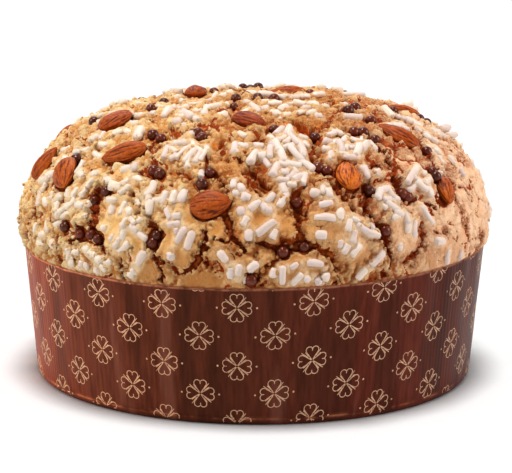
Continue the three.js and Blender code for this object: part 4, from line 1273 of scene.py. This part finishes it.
def nugget():
    """A coarse round lump: a cube's faces cut once and rounded, as triangles."""
    g = np.linspace(-1, 1, 4)
    pts, tris, seen = [], [], {}

    def at(p):
        key = tuple(np.round(p, 5))
        if key not in seen:
            seen[key] = len(pts)
            pts.append(p)
        return seen[key]

    for ax in range(3):
        for sg in (-1, 1):
            for i in range(3):
                for j in range(3):
                    c = []
                    for u, w in ((i, j), (i + 1, j), (i + 1, j + 1), (i, j + 1)):
                        p = [0, 0, 0]
                        p[ax], p[(ax + 1) % 3], p[(ax + 2) % 3] = sg, g[u], g[w]
                        c.append(at(p))
                    if sg < 0:
                        c = c[::-1]
                    tris += [(c[0], c[1], c[2]), (c[0], c[2], c[3])]
    return unit(np.array(pts, float)), np.array(tris)


def build_crumbs(surf, masks):
    """Loose crumbs of glaze and sugar, half stuck in the crust: most along the cracks and where it is rough."""
    rng = np.random.RandomState(41)
    bv, bt = nugget()
    almonds = np.array([almond_frame(s)[1] for s in ALMONDS])
    idx = rng.permutation(len(surf.p0))
    edge = np.exp(-((surf.c[idx] / 1.6) ** 2))
    want = 0.55 * edge + 0.5 * masks["crumb"][idx] * (0.4 + masks["pale_painted_light"][idx])
    idx = idx[(rng.uniform(0, 1, len(idx)) < want) & (surf.p0[idx, 2] > 68)][:1350]
    idx = idx[np.min(np.linalg.norm(almonds[None] - surf.p0[idx][:, None], axis=2), axis=1) > 9.5]
    verts, tris, vals = [], [], {k: [] for k in masks}
    for m, i in enumerate(idx):
        r = rng.uniform(0.45, 0.8) + 0.55 * rng.uniform() ** 3
        axes = np.linalg.qr(rng.normal(size=(3, 3)))[0]
        if np.linalg.det(axes) < 0:
            axes[:, 0] *= -1
        v = bv * rng.uniform(0.75, 1.25, 3)
        v = (v * (1 + 0.16 * rng.normal(size=(len(v), 1)))) @ axes.T * r
        verts.append(v + surf.p[i] + surf.nrm[i] * r * rng.uniform(0.0, 0.35))
        tris.append(bt + m * len(bv))
        own = dict(rim=3.0, amber=0.0, painted_cavity_shade=0.0, held=0.0, milk=0.0, foot=0.0, crumb=1.0, painted_peak_highlight=rng.uniform(0.3, 1.0), torn=float(rng.uniform() < 0.25 + 0.4 * masks["torn"][i]) * rng.uniform(0.3, 0.8))
        for k in masks:
            vals[k].append(np.full(len(v), own.get(k, masks[k][i])))
    ob = make_mesh("glaze_crumbs", np.concatenate(verts), np.concatenate(tris), crust_look("glaze_crumb"), attrs={k: np.concatenate(v) for k, v in vals.items()})
    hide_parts("cake")


def build_almonds():
    look = almond_look()
    tones = [0.35, 0.5, 0.3, 0.4, 0.3, 0.3, 0.0, 0.4, 1.0, 0.3, 0.4, 0.5, 0.4, 0.3, 0.5, 0.6, 0.2, 0.7]
    for num, spec in enumerate(ALMONDS, 1):
        axes, centre, _ = almond_frame(spec)
        size, wide = spec[6], spec[7]
        L, Wd, T = ALMOND_L * size, ALMOND_W * size * wide, ALMOND_T * size
        ns, na = 36, 72
        s = 0.5 - 0.5 * np.cos(np.linspace(0, 1, ns + 1) * math.pi)
        s = np.clip(s, 0.0008, 0.9992)[1:-1]
        ang = np.arange(na) * 2 * math.pi / na
        S, A = np.meshgrid(s, ang, indexing="ij")
        f = almond_shape(S)
        cy, cz = np.cos(A), np.sin(A)
        flat = 1 - 0.06 * np.abs(np.sin(2 * A))
        x, y, z = (S - 0.45) * L, Wd / 2 * f * cy * flat, T / 2 * f * cz * flat
        # ridges run from the round end to the point and waver
        bend = 0.10 * noise(np.stack([cy * 2, cz * 2, x * 0.22 + 5 * num], -1).reshape(-1, 3), 1.6, 5 + num).reshape(S.shape)
        seed = np.stack([np.cos(A + bend) * 3.0, np.sin(A + bend) * 3.0 + 9 * num, x * 0.045 + num], -1).reshape(-1, 3)
        g = 1 - np.abs(noise(seed, 0.72, 400 + num)) * 3.8
        g2 = 1 - np.abs(noise(seed, 0.4, 500 + num)) * 3.2
        g, g2 = np.clip(g, 0, 1).reshape(S.shape), np.clip(g2, 0, 1).reshape(S.shape)
        groove = np.clip(g**1.6 + 0.6 * g2**2.0, 0, 1) * smooth(0, 0.05, S) * smooth(1, 0.93, S)
        cut = 1 - (0.36 * groove - 0.12 * noise(seed, 1.1, 600 + num).reshape(S.shape)) / np.maximum(np.hypot(y, z), 0.8)
        v = np.stack([x, y * cut, z * cut], -1).reshape(-1, 3)
        v = np.concatenate([v, [(-0.45 * L, 0, 0), (0.55 * L, 0, 0)]])
        t = []
        for i in range(ns - 2):
            for j in range(na):
                k = (j + 1) % na
                t += [(i * na + j, (i + 1) * na + k, (i + 1) * na + j), (i * na + j, i * na + k, (i + 1) * na + k)]
        e0, e1, last = len(v) - 2, len(v) - 1, (ns - 2) * na
        for j in range(na):
            k = (j + 1) % na
            t += [(e0, k, j), (e1, last + j, last + k)]
        t = np.array(t)[:, ::-1]
        gv = np.append(groove.ravel(), [0.3, 0.3])
        tone = tones[num - 1] + 0.15 * noise(v * 1.0 + num * 9, 5, 700)
        ob = make_mesh(f"almond_{num:02d}_skin", v @ axes.T + centre, t, look, attrs={"groove": gv, "tone": np.clip(tone, 0, 1)})
        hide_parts(f"almond_{num:02d}")


# ---------------------------------------------------------------- paper case
FLUTES = 260
FLUTE = 0.045


def case_point(a, z, inner=0.0):
    """A point of the case's outer wall at an angle and height, flutes and buckles and all; inner is how far inside it."""
    a, z = np.asarray(a, float), np.asarray(z, float)
    foot = np.where(z < FOOT_H, (0.25 + FOOT_IN * 0.8) * ((FOOT_H - z) / FOOT_H) ** 2, 0.0)
    crease = -0.32 * np.exp(-(((z - FOOT_H) / 0.35) ** 2))
    fl = FLUTE * np.sin(FLUTES * a + 1.3 * np.sin(17 * a)) * smooth(1.5, 5, z) * (0.6 + 0.4 * np.sin(11 * a + 1.0) * np.sin(29 * a))
    buckle = 0.16 * np.sin(23 * a + 0.6 + 0.02 * z) * smooth(4, 40, z) + 0.12 * np.sin(41 * a + 2) * smooth(10, 60, z)
    r = wall_at(z) - foot + crease + fl + buckle - 0.15 - inner
    p = np.stack([r * np.cos(a), r * np.sin(a), z + 0 * a], -1)
    flat = p.reshape(-1, 3)
    return follow_case(flat).reshape(p.shape)


def build_case():
    look = paper_look()
    n = FLUTES * 6
    a = np.arange(n) * 2 * math.pi / n
    out_z = np.array([0.0, 0.7, 1.6, 2.3, 2.7, 3.05, 3.5, 4.6, 9.0, 20.0, 34.0, 48.0, 57.0, 61.2, CASE_H])
    rows, crease, rim = [], [], []

    def row(pts, cr=0.0, rm=0.0):
        rows.append(pts)
        crease.append(np.full(n, cr))
        rim.append(np.full(n, rm))

    base = [0.0, 30.0, 70.0, 96.0, 99.9]
    for r in base[1:]:
        row(np.stack([r * np.cos(a), r * np.sin(a), 0 * a], -1))
    wave = 0.06 * np.sin(31 * a) + 0.04 * np.sin(57 * a + 1) - 0.05
    # crease marks the fold at the foot, lighter there as painted highlight with wear
    for z in out_z:
        top = smooth(50, CASE_H, z)
        row(case_point(a, np.full(n, z)) + np.stack([0 * a, 0 * a, wave * top], -1), math.exp(-(((z - FOOT_H) / 0.5) ** 2)), 1.0 if z >= CASE_H else 0.0)
    row(case_point(a, np.full(n, CASE_H), 0.45) + np.stack([0 * a, 0 * a, wave], -1), 0, 1.0)
    for z in (61.0, 45.0, 20.0, FLOOR_T):
        row(case_point(a, np.full(n, z), 0.75), 0, 0.0)
    for r in (96.0, 70.0, 30.0):
        row(np.stack([r * np.cos(a), r * np.sin(a), 0 * a + FLOOR_T - 0.2], -1))
    m = len(rows)
    v = np.concatenate([np.concatenate(rows), [(0, 0, 0), (0, 0, FLOOR_T - 0.2)]])
    i = np.arange(n)
    j = (i + 1) % n
    t = []
    for k in range(m - 1):
        A, B = k * n, (k + 1) * n
        t += [np.stack([A + i, A + j, B + j], 1), np.stack([A + i, B + j, B + i], 1)]
    t.append(np.stack([np.full(n, m * n), j, i], 1))
    t.append(np.stack([np.full(n, m * n + 1), (m - 1) * n + i, (m - 1) * n + j], 1))
    ang = np.degrees(np.arctan2(v[:, 0], -v[:, 1]))
    # painted light: the right side and the back, where the paper's colour follows how light falls
    side = smooth(-25, 40, ang) * smooth(180, 120, np.abs(ang)) + 0.5 * smooth(120, 180, np.abs(ang))
    # painted light: the left side, where a warm sheen is painted on the paper
    left = smooth(-38, -72, ang) * smooth(-150, -110, ang)
    ob = make_mesh(
        "case_paper",
        v,
        np.concatenate(t),
        look,
        attrs={"crease": np.append(np.concatenate(crease), [0, 0]), "rim": np.append(np.concatenate(rim), [0, 0]), "side": side, "left": left},
    )
    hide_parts("paper_case")
    return ob


# the print: small four-petalled flowers drawn in outline, in a diamond lattice
COL_DEG, COL_ARC, ROW_MM = 9.0, 16.4, 26.6
STROKE = 0.27


def motif_lines():
    """The flower's strokes in mm, as open or closed lines of points with half-widths."""
    lines = []
    tx, ty, cx, cy, cr = 3.92, 2.61, 4.75, 1.35, 1.5
    start = math.atan2(ty - cy, tx - cx)
    arc = [(cx + cr * math.cos(t), cy + cr * math.sin(t)) for t in np.linspace(start, -1.13, 13)]
    notch = (cx - 0.35, 0.0)
    half = [(0.35, 0.28), (1.5, 1.02), (2.7, 1.82), (tx, ty)] + arc[1:] + [notch]
    for q in range(4):
        c, s = (1, 0, -1, 0)[q], (0, 1, 0, -1)[q]
        for m in (1, -1):
            lines.append([(x * c - y * m * s, x * s + y * m * c) for x, y in half])
    for q in range(4):
        for off, lo, hi in ((6.5, 2.6, 6.2), (-6.5, 2.6, 5.0)):
            t = math.radians(45 + 90 * q + off)
            lines.append([(lo * math.cos(t), lo * math.sin(t)), ((lo + hi) / 2 * math.cos(t), (lo + hi) / 2 * math.sin(t)), (hi * math.cos(t), hi * math.sin(t))])
    return lines


def build_print():
    verts, tris = [], []
    count = 0
    lines = motif_lines()
    cols = int(round(360 / COL_DEG))

    def shift(arc):
        k = np.minimum(np.abs(arc), 137.0)
        extra = np.abs(arc) - k
        return np.where(arc > 0, 0.075 * k + 0.00023 * k * k + 0.138 * extra, 0.00018 * k * k + 0.049 * extra)

    def lay(x, y, uc, vc, raise_):
        arc = uc + x
        z = vc + y + shift(np.array(uc)) + 0.5 * x * (shift(np.array(uc + 1.0)) - shift(np.array(uc - 1.0)))
        a = -math.pi / 2 + np.radians(arc / COL_ARC * COL_DEG)
        return case_point(a, z, -raise_), z

    for k in range(-cols // 2, cols // 2):
        uc = (-3.9 + COL_DEG * k) / COL_DEG * COL_ARC
        if uc < -cols / 2 * COL_ARC + 6 or uc > cols / 2 * COL_ARC - 6:
            continue
        vc = 0.6 + ROW_MM / 2 * k
        zc = vc + float(shift(np.array(uc)))
        low = zc - ROW_MM * math.floor((zc + 8) / ROW_MM)
        z0 = low
        while z0 < CASE_H + 8:
            vv = vc + (z0 - zc)
            for ln in lines:
                P = np.array(ln)
                steps = []
                for a, b in zip(P[:-1], P[1:]):
                    m = max(1, int(np.hypot(*(b - a)) / 0.55))
                    steps += [a + (b - a) * t / m for t in range(m)]
                P = np.array(steps + [P[-1]])
                d = np.gradient(P, axis=0)
                d /= np.maximum(np.hypot(*d.T), 1e-9)[:, None]
                nrm = np.stack([-d[:, 1], d[:, 0]], 1) * STROKE
                L, zl = lay(*(P + nrm).T, uc, vv, -0.03)
                C, _ = lay(*P.T, uc, vv, 0.07)
                R, zr = lay(*(P - nrm).T, uc, vv, -0.03)
                ok = (zl > 1.0) & (zl < CASE_H - 0.5) & (zr > 1.0) & (zr < CASE_H - 0.5)
                seg = np.nonzero(ok[:-1] & ok[1:])[0]
                if len(seg) == 0:
                    continue
                m = len(P)
                verts.append(np.concatenate([L, C, R]))
                s = seg + count
                tris.append(np.stack([s, s + m, s + m + 1], 1))
                tris.append(np.stack([s, s + m + 1, s + 1], 1))
                tris.append(np.stack([s + m, s + 2 * m, s + 2 * m + 1], 1))
                tris.append(np.stack([s + m, s + 2 * m + 1, s + m + 1], 1))
                count += 3 * m
            for x in (-8.5, 8.5):
                t = np.arange(9) * 2 * math.pi / 9
                xs, ys = x + np.append(0.46 * np.cos(t), 0), np.append(0.46 * np.sin(t), 0)
                D, zd = lay(xs, ys, uc, vv, 0.02)
                if zd.min() < 1.0 or zd.max() > CASE_H - 0.5:
                    continue
                verts.append(D)
                i = np.arange(9)
                tris.append(np.stack([np.full(9, 9), (i + 1) % 9, i], 1)[:, ::-1] + count)
                count += 10
            z0 += ROW_MM
    v, t = np.concatenate(verts), np.concatenate(tris)
    nrm = np.cross(v[t[:, 1]] - v[t[:, 0]], v[t[:, 2]] - v[t[:, 0]])
    mid = v[t].mean(1)
    turned = (nrm[:, 0] * mid[:, 0] + nrm[:, 1] * mid[:, 1]) < 0
    t[turned] = t[turned][:, ::-1]
    used, inv = np.unique(t, return_inverse=True)
    ang = np.degrees(np.arctan2(v[used][:, 0], -v[used][:, 1]))
    # painted light: the print's left side, greyer to offset the warm light there
    left = smooth(-20, -60, ang) * smooth(-150, -110, ang)
    ob = make_mesh("case_print", v[used], inv.reshape(-1, 3), ink_look(), attrs={"left": left})
    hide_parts("paper_case")
    return ob


# ---------------------------------------------------------------- put it together
rods = plan_rods()
seen_pearls, more_pearls = plan_pearls(rods)
p0, n0, h0, p1, nrm1, front0, c0, masks = build_crust(rods, seen_pearls + more_pearls)
surface = Surface(p0, n0, h0, p1, nrm1, front0, c0)
build_rods(surface, rods)
build_pearls(surface, more_pearls)
build_crumbs(surface, masks)
build_almonds()
PAPER = [build_case(), build_print()]

# ---------------------------------------------------------------- floor, light and camera
bpy.ops.mesh.primitive_plane_add(size=1, location=(0, 0, -0.0002))
floor = bpy.context.object
floor.name = "floor"
floor.scale = (40, 40, 1)
floor.data.materials.append(floor_look())

world = bpy.data.worlds.new("studio")
world.use_nodes = True
world.node_tree.nodes["Background"].inputs["Color"].default_value = (1, 1, 1, 1)
world.node_tree.nodes["Background"].inputs["Strength"].default_value = 0.42
SCENE.world = world


def area(name, at, look_at, size, watts, color=(1, 1, 1)):
    d = bpy.data.lights.new(name, "AREA")
    d.shape = "RECTANGLE"
    d.size, d.size_y = size
    d.energy = watts
    d.color = color
    o = bpy.data.objects.new(name, d)
    SCENE.collection.objects.link(o)
    o.location = at
    o.rotation_euler = (Vector(look_at) - Vector(at)).to_track_quat("-Z", "Y").to_euler()
    return o


key = area("key", (-0.2, -0.14, 1.4), (0, 0, 0.08), (0.3, 0.3), 12.1, (1.0, 0.985, 0.96))
fill = area("fill", (1.2, -0.2, 0.6), (0, 0, 0.08), (0.7, 0.7), 9.5, (1.0, 0.9, 0.85))
left = area("left", (-1.2, -0.35, 0.75), (0, 0, 0.08), (0.7, 0.7), 8.1, (1.0, 0.96, 0.9))
back = area("back", (-0.2, 1.2, 1.3), (0, 0, 0.1), (1.2, 0.8), 8, (1.0, 1.0, 1.0))
loaf, cake = bpy.data.collections.new("loaf_only"), bpy.data.collections.new("cake_only")
for ob in SCENE.objects:
    if ob.type == "MESH" and ob is not floor:
        loaf.objects.link(ob)
        if ob not in PAPER:
            cake.objects.link(ob)
for lamp, lit in ((key, loaf), (back, loaf), (fill, cake), (left, cake)):
    lamp.light_linking.receiver_collection = lit
# a broad soft light straight from above, for the floor alone, so that the shadow hugs the foot of the case
sun = bpy.data.lights.new("floor_wash", "SUN")
sun.energy, sun.angle = 2.42, 0.27
wash = bpy.data.objects.new("floor_wash", sun)
SCENE.collection.objects.link(wash)
wash.rotation_euler = (0.03, 0.0, 0.0)
ground = bpy.data.collections.new("floor_only")
ground.objects.link(floor)
wash.light_linking.receiver_collection = ground
warm = area("warm_card", (-0.78, -0.02, 0.16), (0, 0, 0.03), (0.5, 0.35), 17, (1.0, 0.59, 0.4))
cool = area("cool_card", (0.52, -0.7, 0.2), (0, 0, 0.03), (0.4, 0.35), 5.4, (1.0, 0.8, 0.72))
only = bpy.data.collections.new("paper_only")
for ob in PAPER:
    only.objects.link(ob)
for lamp in (warm, cool):
    lamp.light_linking.receiver_collection = only

cam = bpy.data.cameras.new("camera")
cam_ob = bpy.data.objects.new("camera", cam)
SCENE.collection.objects.link(cam_ob)
cam.sensor_fit = "HORIZONTAL"
cam.sensor_width = 36.0
cam.lens = 36.0 * CAM_F / W
cam.shift_x = -CAM_X / W
cam.clip_start, cam.clip_end = 0.05, 100
basis = Matrix((tuple(CAM_RIGHT), tuple(CAM_UP), tuple(BACK))).transposed()
basis = basis @ Matrix.Rotation(CAM_ROLL, 3, "Z")
cam_ob.matrix_world = Matrix.Translation(Vector(CAM_AT * MM)) @ basis.to_4x4()
SCENE.camera = cam_ob
SCENE.view_settings.view_transform = "Standard"
SCENE.view_settings.look = "None"
